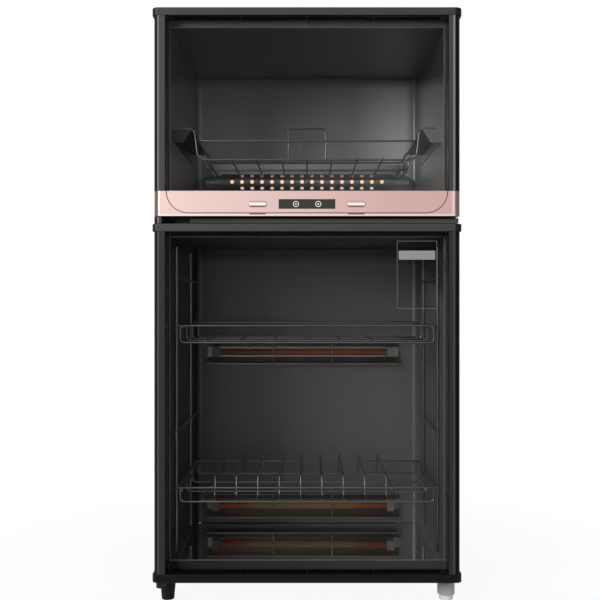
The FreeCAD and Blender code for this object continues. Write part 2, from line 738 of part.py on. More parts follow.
def door_seal(upper):
    low, high = seal_lines(upper)
    face_y = BODY_Y0 - SEAL_FREE
    bulb = door_ring(SEAL_X0, SEAL_X1, low, high, DOOR_BACK_Y, face_y)
    return bulb.fuse(seal_root(upper, 0)).removeSplitter()


def side_trim(z0, z1, upper):
    """Right side trim: a hollow section with a slot for the glass and a groove for the seal."""
    section = rounded_block(
        TRIM_X, DOOR_X, TRIM_Y, DOOR_BACK_Y, z0, z1, (0, TRIM_FRONT_R, TRIM_BACK_R, 0)
    )
    slot = box(TRIM_X - 1, GLASS_X + FIT, GLASS_Y0 - GLASS_FIT, GLASS_Y1 + GLASS_FIT, z0 - 1, z1 + 1)
    chamber = box(CHAMBER_X0, CHAMBER_X1, CHAMBER_Y0, CHAMBER_Y1, z0 - 1, z1 + 1)
    return section.cut(slot).cut(chamber).cut(seal_root(upper, SEAL_ROOT_FIT))


def trim_span(upper):
    if upper:
        return BAND_Z1, UP_Z1 - TOP_CAP_H
    return LOW_Z0 + BOTTOM_CAP_H, LOW_Z1 - LOWER_CAP_H


def right_trim(upper):
    return side_trim(*trim_span(upper), upper)


def left_trim(upper):
    return flipped(right_trim(upper))


def door_glass(upper):
    z0, z1 = trim_span(upper)
    return box(-GLASS_X, GLASS_X, GLASS_Y0, GLASS_Y1, z0 - GLASS_GRIP, z1 + GLASS_GRIP)


def tongues(z0, z1):
    """Blocks of a cap or band that fill the ends of the hollow trims."""
    x0, x1 = CHAMBER_X0 + FIT, CHAMBER_X1 - FIT
    right = box(x0, x1, CHAMBER_Y0 + FIT, CHAMBER_Y1 - FIT, z0, z1)
    return [right, flipped(right)]


def glass_slot(z0, z1):
    x = GLASS_X + FIT
    return box(-x, x, GLASS_Y0 - GLASS_FIT, GLASS_Y1 + GLASS_FIT, z0, z1)


def door_bore(z_open, up):
    """Bore for a hinge pin, open at z_open."""
    depth = PIN_REACH + BORE_SPARE
    end = z_open + depth if up else z_open - depth
    start = z_open - 1 if up else z_open + 1
    return cyl(PIN_R + PIN_PLAY, V(PIVOT_X, PIVOT_Y, start), V(PIVOT_X, PIVOT_Y, end))


def cap(z0, z1, glass_above, upper, pin_from):
    """Moulded end cap with a ribbed pocket on its glass side."""
    x = DOOR_X + CAP_OUT
    radii = (TRIM_FRONT_R, TRIM_FRONT_R, TRIM_BACK_R, TRIM_BACK_R)
    block = rounded_block(-x, x, FRONT_Y, DOOR_BACK_Y, z0, z1, radii)
    free_z = z0 if glass_above else z1
    inner_z = z1 if glass_above else z0
    reach = 1 if glass_above else -1
    grip = sorted((inner_z + reach, inner_z - reach * (GLASS_GRIP + FIT)))
    floor = sorted((inner_z + reach, free_z + reach * CAP_WALL))
    tools = [glass_slot(*grip), door_bore(pin_from, pin_from == z0), seal_root(upper, SEAL_ROOT_FIT)]
    pocket_x = TRIM_X - TRIM_WALL - PIVOT_IN
    pitch = 2 * pocket_x / (CAP_RIBS + 1)
    for i in range(CAP_RIBS + 1):
        a = -pocket_x + i * pitch + (CAP_RIB_T / 2 if i else 0)
        b = -pocket_x + (i + 1) * pitch - (CAP_RIB_T / 2 if i < CAP_RIBS else 0)
        tools.append(box(a, b, CHAMBER_Y0, CHAMBER_Y1 - FIT, *floor))
    block = cut(block, tools)
    span = sorted((inner_z - reach * 0.5, inner_z + reach * TONGUE_L))
    return fuse([block] + tongues(*span))


def upper_top_cap():
    return cap(UP_Z1 - TOP_CAP_H, UP_Z1, False, True, UP_Z1)


def lower_top_cap():
    return cap(LOW_Z1 - LOWER_CAP_H, LOW_Z1, False, False, LOW_Z1)


def lower_bottom_cap():
    return cap(LOW_Z0, LOW_Z0 + BOTTOM_CAP_H, True, False, LOW_Z0)


def door_magnet(top_z, down):
    z = top_z - down
    x0, x1 = CHAMBER_X0 + FIT, CHAMBER_X1 - FIT
    return box(x0, x1, CHAMBER_Y1 - MAGNET_T, CHAMBER_Y1, z - MAGNET_L / 2, z + MAGNET_L / 2)


# ---- Control band ----
def stadium(length, height, x, z, y0, y1):
    """Plate whose ends are rounded with a few flats each."""
    r = height / 2
    h = length / 2 - r
    points = []
    for side in (1, -1):
        for i in range(BUTTON_END_FLATS + 1):
            t = math.pi * (i / BUTTON_END_FLATS - 0.5)
            points.append(V(x + side * (h + r * math.cos(t)), y0, z + side * r * math.sin(t)))
    return prism(points, V(0, y1 - y0, 0))


def insert_plate(grow, y0, y1):
    """The inset face: straight along the top, swept up in a quarter circle at both ends."""
    x = DOOR_X - INSERT_IN + grow
    z0 = UP_Z0 + INSERT_FOOT - grow
    r = min(BAND_Z1 - z0 - 0.01, x)
    return rounded_plate(-x, x, z0, BAND_Z1, y0, y1, (r, r, 0, 0))


def button_hole(x, spare, y0, y1):
    return stadium(BUTTON_L + 2 * spare, BUTTON_H + 2 * spare, x, BUTTON_Z, y0, y1)


def window_plate(spare, y0, y1):
    x, z = WINDOW_W / 2 + spare, WINDOW_H / 2 + spare
    return box(-x, x, y0, y1, BUTTON_Z - z, BUTTON_Z + z)


def board_posts():
    x, z, h = BOARD_W / 2 - 4, BOARD_H / 2 - 3, POST_W / 3
    y0 = BAND_Y + BAND_WALL / 2
    places = [(sx * x, BUTTON_Z + sz * z) for sx in (-1, 1) for sz in (-1, 1)]
    return [box(px - h, px + h, y0, BOARD_Y, pz - h, pz + h) for px, pz in places]


def control_band():
    radii = (TRIM_FRONT_R, TRIM_FRONT_R, TRIM_BACK_R, TRIM_BACK_R)
    block = rounded_block(-DOOR_X, DOOR_X, BAND_Y, DOOR_BACK_Y, UP_Z0, BAND_Z1, radii)
    room_x = DOOR_X - BAND_END
    ceiling = BAND_Z1 - GLASS_GRIP - FIT - BAND_SHELF
    hollow = box(-room_x, room_x, BAND_Y + BAND_WALL, DOOR_BACK_Y + 1, UP_Z0 + BAND_SHELF, ceiling)
    recess = insert_plate(GROOVE_W, BAND_Y - 1, BAND_Y + INSERT_T)
    tools = [hollow, recess, glass_slot(BAND_Z1 - GLASS_GRIP - FIT, BAND_Z1 + 1), door_bore(UP_Z0, True)]
    tools.append(seal_root(True, SEAL_ROOT_FIT))
    for side in (-1, 1):
        x = side * BUTTON_X
        tools.append(button_hole(x, BUTTON_PLAY, BAND_Y - 1, BAND_Y + BAND_WALL + 1))
        z = UP_Z0 + INSERT_FOOT - GROOVE_W
        slot = box(x - SLOT_L / 2, x + SLOT_L / 2, BAND_Y - 1, BAND_Y + INSERT_T, z - SLOT_H / 2, z)
        tools.append(slot)
    tools.append(window_plate(FIT, BAND_Y - 1, BAND_Y + BAND_WALL + 1))
    block = cut(block, tools)
    return fuse([block] + board_posts() + tongues(BAND_Z1 - 0.5, BAND_Z1 + TONGUE_L))


def band_insert():
    plate = insert_plate(-INSERT_SEAT, BAND_Y, BAND_Y + INSERT_T)
    tools = [button_hole(s * BUTTON_X, BUTTON_PLAY, BAND_Y - 1, BAND_Y + 3) for s in (-1, 1)]
    tools.append(window_plate(FIT, BAND_Y - 1, BAND_Y + 3))
    tools.append(glass_slot(BAND_Z1 - GLASS_GRIP - FIT, BAND_Z1 + 1))
    return cut(plate, tools)


def band_cover():
    """Plate that closes the band's back and carries the seal's lower run."""
    x = DOOR_X - BAND_END - FIT
    z0 = UP_Z0 + BAND_SHELF + FIT
    z1 = BAND_Z1 - GLASS_GRIP - FIT - BAND_SHELF - FIT
    plate = box(-x, x, DOOR_BACK_Y - SEAL_ROOT_D - BAND_COVER_T, DOOR_BACK_Y, z0, z1)
    return plate.cut(seal_root(True, SEAL_ROOT_FIT))


def display_window():
    return window_plate(0, BAND_Y, BAND_Y + WINDOW_T)


def button(side):
    """Push button: face, stop flange behind the band's wall and a square stem to its switch."""
    x = side * BUTTON_X
    face_y = BAND_Y - BUTTON_PROUD
    flange_y = BAND_Y + BAND_WALL + SLIDE_GAP
    back_y = flange_y + BUTTON_FLANGE_T
    head = stadium(BUTTON_L, BUTTON_H, x, BUTTON_Z, face_y, back_y)
    h, v = BUTTON_L / 2 + BUTTON_FLANGE, BUTTON_H / 2 + BUTTON_FLANGE
    flange = box(x - h, x + h, flange_y, back_y, BUTTON_Z - v, BUTTON_Z + v)
    r = STEM_R
    tip_y = BOARD_Y - BUTTON_TRAVEL - SLIDE_GAP
    stem = box(x - r, x + r, flange_y, tip_y, BUTTON_Z - r, BUTTON_Z + r)
    return fuse([head, flange, stem])


def display_board():
    """Circuit board with the display block and one switch behind each button."""
    board = box(
        -BOARD_W / 2, BOARD_W / 2, BOARD_Y, BOARD_Y + BOARD_T, BUTTON_Z - BOARD_H / 2, BUTTON_Z + BOARD_H / 2
    )
    x, z = WINDOW_W / 2 - 2, WINDOW_H / 2 - 1
    lamp = box(-x, x, BAND_Y + WINDOW_T + FIT, BOARD_Y, BUTTON_Z - z, BUTTON_Z + z)
    pieces = [board, lamp]
    h = SWITCH_S / 2
    for side in (-1, 1):
        c = side * BUTTON_X
        body = box(c - h, c + h, BOARD_Y - SWITCH_H, BOARD_Y, BUTTON_Z - h, BUTTON_Z + h)
        r = STEM_R + STEM_PLAY
        well = box(c - r, c + r, BOARD_Y - SWITCH_H - 1, BOARD_Y, BUTTON_Z - r, BUTTON_Z + r)
        pieces.append(body.cut(well))
    return fuse(pieces)


# ---- Feet ----
def fixed_foot_places():
    return [(-FOOT_X, FOOT_Y0), (-FOOT_X, FOOT_Y1), (FOOT_X, FOOT_Y1)]


def rubber_foot(x, y):
    """Tapered foot under the base; both of its ends have many flats."""
    rings = []
    for r, z in ((FOOT_R0, 0), (FOOT_R1, BODY_Z)):
        turns = [2 * math.pi * (i + 0.5) / FOOT_SIDES for i in range(FOOT_SIDES)]
        rings.append([V(x + r * math.cos(t), y + r * math.sin(t), z) for t in turns])
    return frustum(*rings)


def rubber_feet():
    return [rubber_foot(x, y) for x, y in fixed_foot_places()]


def levelling_pad():
    c = V(FOOT_X, FOOT_Y0, 0)
    pad = bar(PAD_R, c, c + V(0, 0, PAD_H), 16)
    return pad.cut(cyl(BALL_R + BALL_PLAY, c + V(0, 0, PAD_H - BALL_D - BALL_PLAY), c + V(0, 0, PAD_H + 1)))


def levelling_knob():
    """Ribbed grip with the threaded stud above and a stub that turns in the pad."""
    z0 = PAD_H + KNOB_LIFT
    c = V(FOOT_X, FOOT_Y0, 0)
    grip = star(c + V(0, 0, z0), KNOB_R, KNOB_RIB_D, KNOB_RIBS, KNOB_H)
    stud = cyl(STUD_R, c + V(0, 0, z0 + KNOB_H / 2), c + V(0, 0, BODY_Z + STUD_TOP))
    stub = cyl(BALL_R, c + V(0, 0, PAD_H - BALL_D), c + V(0, 0, z0 + KNOB_H / 2))
    return fuse([grip, stud, stub])


# ---- Heaters of the lower room ----
def heater_z(up):
    return TRAY_Z + up


def reflector(up):
    """Folded trough behind a tube, with both lips leaning forward."""
    z = heater_z(up)
    yb = ROOM_Y1 - 1.0
    yf = yb - REFLECTOR_D
    h, f, t = REFLECTOR_H / 2, REFLECTOR_FLAT / 2, REFLECTOR_T
    x0 = HEATER_X - REFLECTOR_L / 2
    outline = [
        V(x0, yf, z + h),
        V(x0, yb, z + f),
        V(x0, yb, z - f),
        V(x0, yf, z - h),
        V(x0, yf, z - h + 1.4 * t),
        V(x0, yb - t, z - f + 0.4 * t),
        V(x0, yb - t, z + f - 0.4 * t),
        V(x0, yf, z + h - 1.4 * t),
    ]
    trough = prism(outline, V(REFLECTOR_L, 0, 0))
    feet = []
    for s in (-1, 1):
        x = HEATER_X + s * (REFLECTOR_L / 2 - 30)
        feet.append(box(x - 6, x + 6, yb - t / 2, ROOM_Y1, z - 5, z + 5))
    return fuse([trough] + feet)


def tube_y():
    return ROOM_Y1 - TUBE_OUT


def heater_tube(up):
    z = heater_z(up)
    half = TUBE_L / 2
    return cyl(TUBE_R, V(HEATER_X - half, tube_y(), z), V(HEATER_X + half, tube_y(), z))


def heater_holders():
    """Ceramic blocks that hold the tube ends against the reflectors."""
    blocks = []
    s = HOLDER_S / 2
    back = ROOM_Y1 - 1.0 - REFLECTOR_T
    for up in (LOW_HEATER_UP, MID_HEATER_UP):
        z = heater_z(up)
        for side in (-1, 1):
            end = HEATER_X + side * TUBE_L / 2
            inner = end - side * HOLDER_BITE
            outer = inner + side * HOLDER_W
            x0, x1 = sorted((inner, outer))
            half = min(s, REFLECTOR_FLAT / 2 - 0.5)
            block = box(x0, x1, tube_y() - s, back, z - half, z + half)
            a = V(inner - side, tube_y(), z)
            b = V(end + side * HOLDER_FIT, tube_y(), z)
            blocks.append(block.cut(bar(TUBE_R + HOLDER_FIT, a, b, 8)))
    return blocks


def heater_guard_wires():
    """Bent wires that keep dishes off the tubes, welded to the reflectors' lips."""
    wires = []
    yf = ROOM_Y1 - 1.0 - REFLECTOR_D
    y_out = tube_y() - GUARD_OUT
    h = REFLECTOR_H / 2 - 0.7 * REFLECTOR_T
    for up in (LOW_HEATER_UP, MID_HEATER_UP):
        z = heater_z(up)
        for side in (-1, 1):
            x = HEATER_X + side * GUARD_PITCH / 2
            path = [V(x, yf, z + h), V(x, y_out, z + h), V(x, y_out, z - h), V(x, yf, z - h)]
            wires.append(bent_bar(GUARD_WIRE_R, path))
    return wires


# ---- Heater bar of the upper room ----
def bar_z():
    return FLOOR_Z + BAR_UP


def bar_back_y():
    return ROOM_Y1 - BAR_OUT


def half_bar(r, x0, x1, y, sides=BAR_SIDES):
    """Half-round bar of many flats, with its flat side to the back wall at y."""
    z = bar_z()
    full = bar(r, V(x0, y, z), V(x1, y, z), sides)
    return full.cut(box(x0 - 1, x1 + 1, y, y + 2 * r, z - 2 * r, z + 2 * r))


def hole_tools(turn, count, sides):
    """Radial punches for one row of holes."""
    t = math.radians(turn)
    out = V(0, -math.cos(t), math.sin(t))
    tools = []
    for i in range(count):
        x = (i - (count - 1) / 2) * BAR_HOLE_PITCH
        c = V(x, bar_back_y(), bar_z())
        start, end = c + out * (BAR_ROOM_R - BAR_T), c + out * (BAR_R + BAR_T)
        tools.append(bar(BAR_HOLE_R, start, end, sides))
    return tools


def half_ring(r, x, y):
    """Outline of the half-round bar's end at x."""
    corner = r / math.cos(math.pi / BAR_SIDES)
    z = bar_z()
    points = [V(x, y, z - r)]
    for i in range(BAR_SIDES // 2):
        t = 2 * math.pi * (i + 0.5) / BAR_SIDES
        points.append(V(x, y - corner * math.sin(t), z - corner * math.cos(t)))
    points.append(V(x, y, z + r))
    return points


def upper_heater_guard():
    """Perforated half-round guard over the tube, closed by a flat back."""
    x = BAR_L / 2
    y = bar_back_y()
    hollow = half_bar(BAR_ROOM_R, -x - 1, x + 1, y - BAR_T, BAR_SIDES // 2)
    shell = half_bar(BAR_R, -x, x, y).cut(hollow)
    punches = hole_tools(0, BAR_HOLES, 6)
    punches += hole_tools(BAR_ROW_TURN, BAR_SIDE_HOLES, 6)
    punches += hole_tools(-BAR_ROW_TURN, BAR_SIDE_HOLES, 6)
    return cut(shell, punches)


def bar_tube_y():
    return bar_back_y() - BAR_R / 2


def upper_heater_tube():
    x = BAR_L / 2
    y, z = bar_tube_y(), bar_z()
    return cyl(BAR_TUBE_R, V(-x, y, z), V(x, y, z))


def upper_heater_caps():
    """Tapered ends that plug the guard and hold the tube."""
    x0 = BAR_L / 2
    y, z = bar_back_y(), bar_z()
    x1 = x0 + BAR_END_L
    x2 = x1 - BAR_END_R * 0.6
    stub = half_bar(BAR_END_R, x0, x2, y)
    nose = frustum(half_ring(BAR_END_R, x2, y), half_ring(BAR_END_R * 0.5, x1, y))
    plug = half_bar(BAR_ROOM_R - FIT, x0 - BAR_END_BITE, x0, y - BAR_T - FIT, BAR_SIDES // 2)
    socket = bar(BAR_TUBE_R + FIT, V(x0 - BAR_END_BITE - 1, bar_tube_y(), z), V(x0 + FIT, bar_tube_y(), z), 8)
    right = fuse([stub, nose, plug]).cut(socket)
    return [flipped(right), right]


def upper_heater_bracket():
    """Strip screwed to the back wall, with two arms that come forward behind the bar."""
    z = bar_z() + BRACKET_RISE
    h, half, t = BRACKET_H / 2, BRACKET_L / 2, BRACKET_T
    lean = BRACKET_H * 0.3
    y0 = ROOM_Y1 - t
    outline = [
        V(-half, y0, z + h),
        V(half, y0, z + h),
        V(half, y0, z - h + lean),
        V(half - lean, y0, z - h),
        V(-half + lean, y0, z - h),
        V(-half, y0, z - h + lean),
    ]
    strip = prism(outline, V(0, t, 0))
    pieces = [strip]
    for side in (-1, 1):
        x = side * BAR_L * 0.35
        x0, x1 = x - BRACKET_ARM_W / 2, x + BRACKET_ARM_W / 2
        foot_z = bar_z() - BAR_R * 0.5
        pieces.append(box(x0, x1, y0, ROOM_Y1, foot_z, z))
        pieces.append(box(x0, x1, bar_back_y(), ROOM_Y1, foot_z - t, foot_z))
        pieces.append(box(x0, x1, bar_back_y(), bar_back_y() + t, foot_z - t, bar_z() + BAR_R * 0.5))
    return fuse(pieces)


# ---- Upper basket and its ledges ----
def hang_z():
    return FLOOR_Z + BASKET_UP


def hanger_path(y):
    """One cross wire: wing, slanted side, floor, side and wing again."""
    top, foot = BASKET_X, BASKET_X - BASKET_TAPER
    wing = ROOM_X - WING_GAP
    z1 = hang_z()
    z0 = z1 - BASKET_DEPTH
    c = BASKET_CORNER
    right = [V(foot - c, y, z0), V(foot, y, z0 + c), V(top, y, z1), V(wing, y, z1)]
    left = [V(-p.x, p.y, p.z) for p in reversed(right)]
    return left + right


def side_at(z):
    """Half width of the basket's side at height z."""
    top, foot = BASKET_X, BASKET_X - BASKET_TAPER
    low = hang_z() - BASKET_DEPTH + BASKET_CORNER
    return foot + (top - foot) * (z - low) / (hang_z() - low)


def upper_basket():
    y0, y1 = RACK_Y0, BASKET_Y1
    rods = []
    for i in range(BASKET_HANGERS):
        rods.append(bent_bar(WIRE_R, hanger_path(y0 + i * (y1 - y0) / (BASKET_HANGERS - 1))))
    rim_z = hang_z() - BASKET_RIM_DOWN
    x = side_at(rim_z) - 2 * WIRE_R
    for y in (y0 + 2 * WIRE_R, y1 - 2 * WIRE_R):
        rods.append(bar(WIRE_R, V(-x, y, rim_z), V(x, y, rim_z)))
    for s in (-1, 1):
        rods.append(bar(WIRE_R, V(s * x, y0 - WIRE_R, rim_z), V(s * x, y1 + WIRE_R, rim_z)))
    floor_z = hang_z() - BASKET_DEPTH + WIRE_R + THIN_R
    reach = BASKET_X - BASKET_TAPER - BASKET_CORNER
    for i in range(BASKET_FLOOR_WIRES):
        fx = (2 * i / (BASKET_FLOOR_WIRES - 1) - 1) * reach
        rods.append(bar(THIN_R, V(fx, y0 - 2 * WIRE_R, floor_z), V(fx, y1 + 2 * WIRE_R, floor_z)))
    w, c = HOOP_W / 2, HOOP_CORNER
    top = rim_z + HOOP_H
    y = y1 - 2 * WIRE_R
    half = [V(w, y, rim_z + WIRE_R), V(w, y, top - c), V(w - c, y, top)]
    rods.append(bent_bar(WIRE_R, half + [V(-p.x, p.y, p.z) for p in reversed(half)]))
    return fuse(rods)


def basket_ledge(side):
    """Sheet ledge on the wall that the basket's wings slide on."""
    wall = ROOM_X
    inner = wall - LEDGE_IN
    z = hang_z() - WIRE_R - SLIDE_GAP
    y0 = RACK_Y0 - LEDGE_SPARE
    y1 = BASKET_Y1 + LEDGE_SPARE
    t = LEDGE_T
    ledge = box(inner, wall, y0, y1, z - t, z)
    flange = box(wall - t, wall, y0, y1, z - LEDGE_FLANGE, z)
    lean = LEDGE_IN * 0.45
    outline = [V(inner, y0, z), V(wall, y0, z), V(wall, y0, z - LEDGE_END_H), V(inner + lean, y0, z - LEDGE_END_H)]
    end = prism(outline, V(0, t, 0))
    bracket = fuse([ledge, flange, end])
    return bracket if side > 0 else flipped(bracket)


def basket_ledges():
    return [basket_ledge(-1), basket_ledge(1)]


# ---- Lower racks and side ladders ----
def rack_rods(up, depth, floor_x):
    """Cross wires, hung U wires and floor wires of a rack."""
    z1 = TRAY_Z + up
    z0 = z1 - depth
    y0, y1 = RACK_Y0, RACK_Y1
    half = RACK_X
    wing = ROOM_X - RACK_WING
    rods = []
    for y in (y0, y1):
        rods.append(bar(WIRE_R, V(-wing, y, z1), V(wing, y, z1)))
    side_z = z1 - 2 * WIRE_R
    for s in (-1, 1):
        x = s * (half - 2 * WIRE_R)
        rods.append(bar(WIRE_R, V(x, y0 - WIRE_R, side_z), V(x, y1 + WIRE_R, side_z)))
    c = RACK_CORNER
    for y in hanger_places():
        right = [V(half - c, y, z0), V(half, y, z0 + c), V(half, y, z1)]
        rods.append(bent_bar(WIRE_R, [V(-p.x, p.y, p.z) for p in reversed(right)] + right))
    floor_z = z0 + WIRE_R + THIN_R
    for x in floor_x:
        rods.append(bar(THIN_R, V(x, y0, floor_z), V(x, y1, floor_z)))
    return rods


def hanger_places():
    """The U wires along a rack; the outer two stand against the cross wires."""
    y0, y1 = RACK_Y0 + 2 * WIRE_R - WELD, RACK_Y1 - 2 * WIRE_R + WELD
    return [y0 + i * (y1 - y0) / (RACK_HANGERS - 1) for i in range(RACK_HANGERS)]


def upper_rack():
    reach = RACK_X - RACK_FLOOR_IN
    floor_x = [(2 * i / (RACK_FLOOR_WIRES - 1) - 1) * reach for i in range(RACK_FLOOR_WIRES)]
    return fuse(rack_rods(UPPER_RACK_UP, UPPER_RACK_DEPTH, floor_x))


def lower_rack():
    """Plate rack: a row of low hoops stands on the U wires to part the plates."""
    rods = rack_rods(LOWER_RACK_UP, LOWER_RACK_DEPTH, ())
    z0 = TRAY_Z + LOWER_RACK_UP - LOWER_RACK_DEPTH + WIRE_R + THIN_R
    y0, y1 = RACK_Y0, RACK_Y1
    a, b = DIVIDER_IN, DIVIDER_IN + DIVIDER_SLOPE
    top = z0 + DIVIDER_H
    first, last = DIVIDER_LEFT - RACK_X, RACK_X - DIVIDER_RIGHT
    for i in range(DIVIDERS):
        x = first + (i + 0.5) * (last - first) / DIVIDERS
        half = [V(x, y0, z0), V(x, y0 + a, z0), V(x, y0 + b, top)]
        path = half + [V(x, y1 - b, top), V(x, y1 - a, z0), V(x, y1, z0)]
        rods.append(bent_bar(THIN_R, path))
    for x in (first, last):
        rods.append(bar(THIN_R, V(x, y0, z0), V(x, y1, z0)))
    return fuse(rods)


def ladder(side):
    """Wire ladder on the side wall; its rails carry the racks at several heights."""
    x_up = ROOM_X - LADDER_WALL_GAP - LADDER_R
    rail_x = x_up - LADDER_R
    rods = []
    z0, z1 = TRAY_Z + LADDER_FOOT_GAP, LOWER_TOP_Z - LADDER_TOP_GAP
    for y in (BODY_Y0 + LADDER_FRONT, ROOM_Y1 - LADDER_REAR):
        rods.append(bar(LADDER_R, V(x_up, y, z0), V(x_up, y, z1)))
        for z in (z0 + 15, z1 - 15):
            rods.append(bar(LADDER_R * 0.8, V(x_up, y, z), V(ROOM_X, y, z)))
    y0, y1 = BODY_Y0 + LADDER_RAIL_START, ROOM_Y1 - LADDER_RAIL_END
    drop = WIRE_R + SLIDE_GAP + LADDER_R
    for up in (UPPER_RACK_UP, LOWER_RACK_UP, LADDER_SPARE_UP, LOWER_ROOM_H - LADDER_SPARE_DOWN):
        z = TRAY_Z + up - drop
        rods.append(bar(LADDER_R, V(rail_x, y0, z), V(rail_x, y1, z)))
    frame = fuse(rods)
    return frame if side > 0 else flipped(frame)


def rack_ladders():
    return [ladder(-1), ladder(1)]


# ---- Electrical pieces ----
POWER_Y1 = BODY_Y1 - POWER_GAP


def power_board():
    """Mains board on posts behind the lower room: relays, transformer and terminal block."""
    x, z = POWER_W / 2, POWER_H / 2
    y1 = POWER_Y1
    y0 = y1 - POWER_T
    front = y0 - MAINS_PARTS_D
    parts = [box(-x, x, y0, y1, POWER_Z - z, POWER_Z + z)]
    left = -x + POWER_EDGE
    h = TRANSFORMER_H / 2
    parts.append(box(left, left + TRANSFORMER_W, front, y0, POWER_Z - h, POWER_Z + h))
    h = RELAY_H / 2
    for i in range(2):
        left += (RELAY_W if i else TRANSFORMER_W) + RELAY_GAP
        parts.append(box(left, left + RELAY_W, front, y0, POWER_Z - h, POWER_Z + h))
    x0, z0 = x - POWER_EDGE - TERMINALS_W, POWER_Z - z + POWER_EDGE
    parts.append(box(x0, x0 + TERMINALS_W, front, y0, z0, z0 + TERMINALS_H))
    return fuse(parts)


def ozone_generator():
    x, h = OZONE_W / 2, OZONE_H / 2
    z = FLOOR_Z + OZONE_UP
    y0 = ROOM_Y1 + SHEET
    case = box(OZONE_X - x, OZONE_X + x, y0, y0 + OZONE_D, z - h, z + h)
    duct = box(OZONE_X - x / 2 - 2, OZONE_X + x / 2 + 5, y0 - 0.01, y0 + OZONE_D - 4, z - 9, z + 9)
    return case.cut(duct)


def cutout_places():
    return [(-CUTOUT_X, bar_z() - BAR_R - CUTOUT_R), (CUTOUT_X, heater_z(LOW_HEATER_UP))]


def cutout_pockets():
    r = CUTOUT_R + INSULATION_GAP
    return [box(x - r, x + r, ROOM_Y1, BODY_Y1, z - r, z + r) for x, z in cutout_places()]


def thermal_cutouts():
    y0 = ROOM_Y1 + SHEET
    pieces = []
    for x, z in cutout_places():
        base = bar(CUTOUT_R, V(x, y0, z), V(x, y0 + CUTOUT_H, z), 12)
        top = y0 + CUTOUT_H
        tabs = [box(x + s * 5 - 1, x + s * 5 + 1, top - 1, top + 5, z - 3, z + 3) for s in (-1, 1)]
        pieces.append(fuse([base] + tabs))
    return pieces


def cord_gland():
    """Hexagonal gland through the back panel; no cord is shown, so none is made."""
    c = V(GLAND_X, BODY_Y1, BODY_Z + GLAND_UP)
    out = V(0, GLAND_OUT, 0)
    head = bar(GLAND_R, c, c + out)
    neck = bar(GLAND_R - 2, c - V(0, SHEET + 4, 0), c + out)
    lock = bar(GLAND_R, c - V(0, SHEET + 4, 0), c - V(0, SHEET, 0))
    return fuse([head, neck, lock]).cut(bar(GLAND_BORE_R, c - V(0, 20, 0), c + V(0, 20, 0), 12))


def door_switches():
    """Reed switches behind the front flange, facing the magnets in the doors."""
    x = (CHAMBER_X0 + CHAMBER_X1) / 2
    w = REED_W / 2
    y0 = MOUTH_Y + SHEET
    pieces = []
    for z in (UP_Z1 - UPPER_CATCH_DOWN, LOW_Z1 - LOWER_CATCH_DOWN):
        x0 = max(x - w, ROOM_X + SHEET + SEAM)
        x1 = min(x0 + REED_W, BODY_X - SHEET - SEAM)
        pieces.append(box(x0, x1, y0, y0 + REED_T, z - REED_L / 2, z + REED_L / 2))
    return pieces


PARTS = {
    "outer_wrap": outer_wrap,
    "base_plate": base_plate,
    "back_panel": back_panel,
    "upper_liner": upper_liner,
    "lower_liner": lower_liner,
    "centre_rail": centre_rail,
    "insulation": insulation,
    "top_hinge_plate": top_hinge_plate,
    "middle_hinge_plate": middle_hinge_plate,
    "bottom_hinge_plate": bottom_hinge_plate,
    "hinge_cover": hinge_cover,
    "rubber_feet": rubber_feet,
    "low_heater_reflector": lambda: reflector(LOW_HEATER_UP),
    "low_heater_tube": lambda: heater_tube(LOW_HEATER_UP),
    "mid_heater_reflector": lambda: reflector(MID_HEATER_UP),
    "mid_heater_tube": lambda: heater_tube(MID_HEATER_UP),
    "heater_holders": heater_holders,
    "heater_guard_wires": heater_guard_wires,
    "upper_heater_guard": upper_heater_guard,
    "upper_heater_tube": upper_heater_tube,
    "upper_heater_caps": upper_heater_caps,
    "upper_heater_bracket": upper_heater_bracket,
    "basket_ledges": basket_ledges,
    "rack_ladders": rack_ladders,
    "ozone_generator": ozone_generator,
    "thermal_cutouts": thermal_cutouts,
    "power_board": power_board,
    "cord_gland": cord_gland,
    "door_switches": door_switches,
    "upper_door_glass": lambda: door_glass(True),
    "upper_door_left_trim": lambda: left_trim(True),
    "upper_door_right_trim": lambda: right_trim(True),
    "upper_door_top_cap": upper_top_cap,
    "upper_door_seal": lambda: door_seal(True),
    "upper_door_magnet": lambda: door_magnet(UP_Z1, UPPER_CATCH_DOWN),
    "control_band": control_band,
    "band_insert": band_insert,
    "band_cover": band_cover,
    "display_window": display_window,
    "display_board": display_board,
    "left_button": lambda: button(-1),
    "right_button": lambda: button(1),
    "lower_door_glass": lambda: door_glass(False),
    "lower_door_left_trim": lambda: left_trim(False),
    "lower_door_right_trim": lambda: right_trim(False),
    "lower_door_top_cap": lower_top_cap,
    "lower_door_bottom_cap": lower_bottom_cap,
    "lower_door_seal": lambda: door_seal(False),
    "lower_door_magnet": lambda: door_magnet(LOW_Z1, LOWER_CATCH_DOWN),
    "upper_basket": upper_basket,
    "upper_rack": upper_rack,
    "lower_rack": lower_rack,
    "levelling_pad": levelling_pad,
    "levelling_knob": levelling_knob,
}

os.makedirs("parts", exist_ok=True)
for name, make in PARTS.items():
    made = make()
    shape = Part.makeCompound(made) if isinstance(made, list) else made
    shape.exportStep(f"parts/{name}.step")
    solids = shape.Solids
    print(f"{name}: {len(solids)} solid(s), valid {shape.isValid()}, {shape.Volume:.0f} mm3")
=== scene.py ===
# %% [markdown]
# # A two-door dish sterilizer cabinet, dressed in Blender
# The imported CAD model is the fixed frame of this scene. It is loaded first, every new piece is
# placed by its sizes, and nothing in it is ever moved.

# %% Load the frame
import math

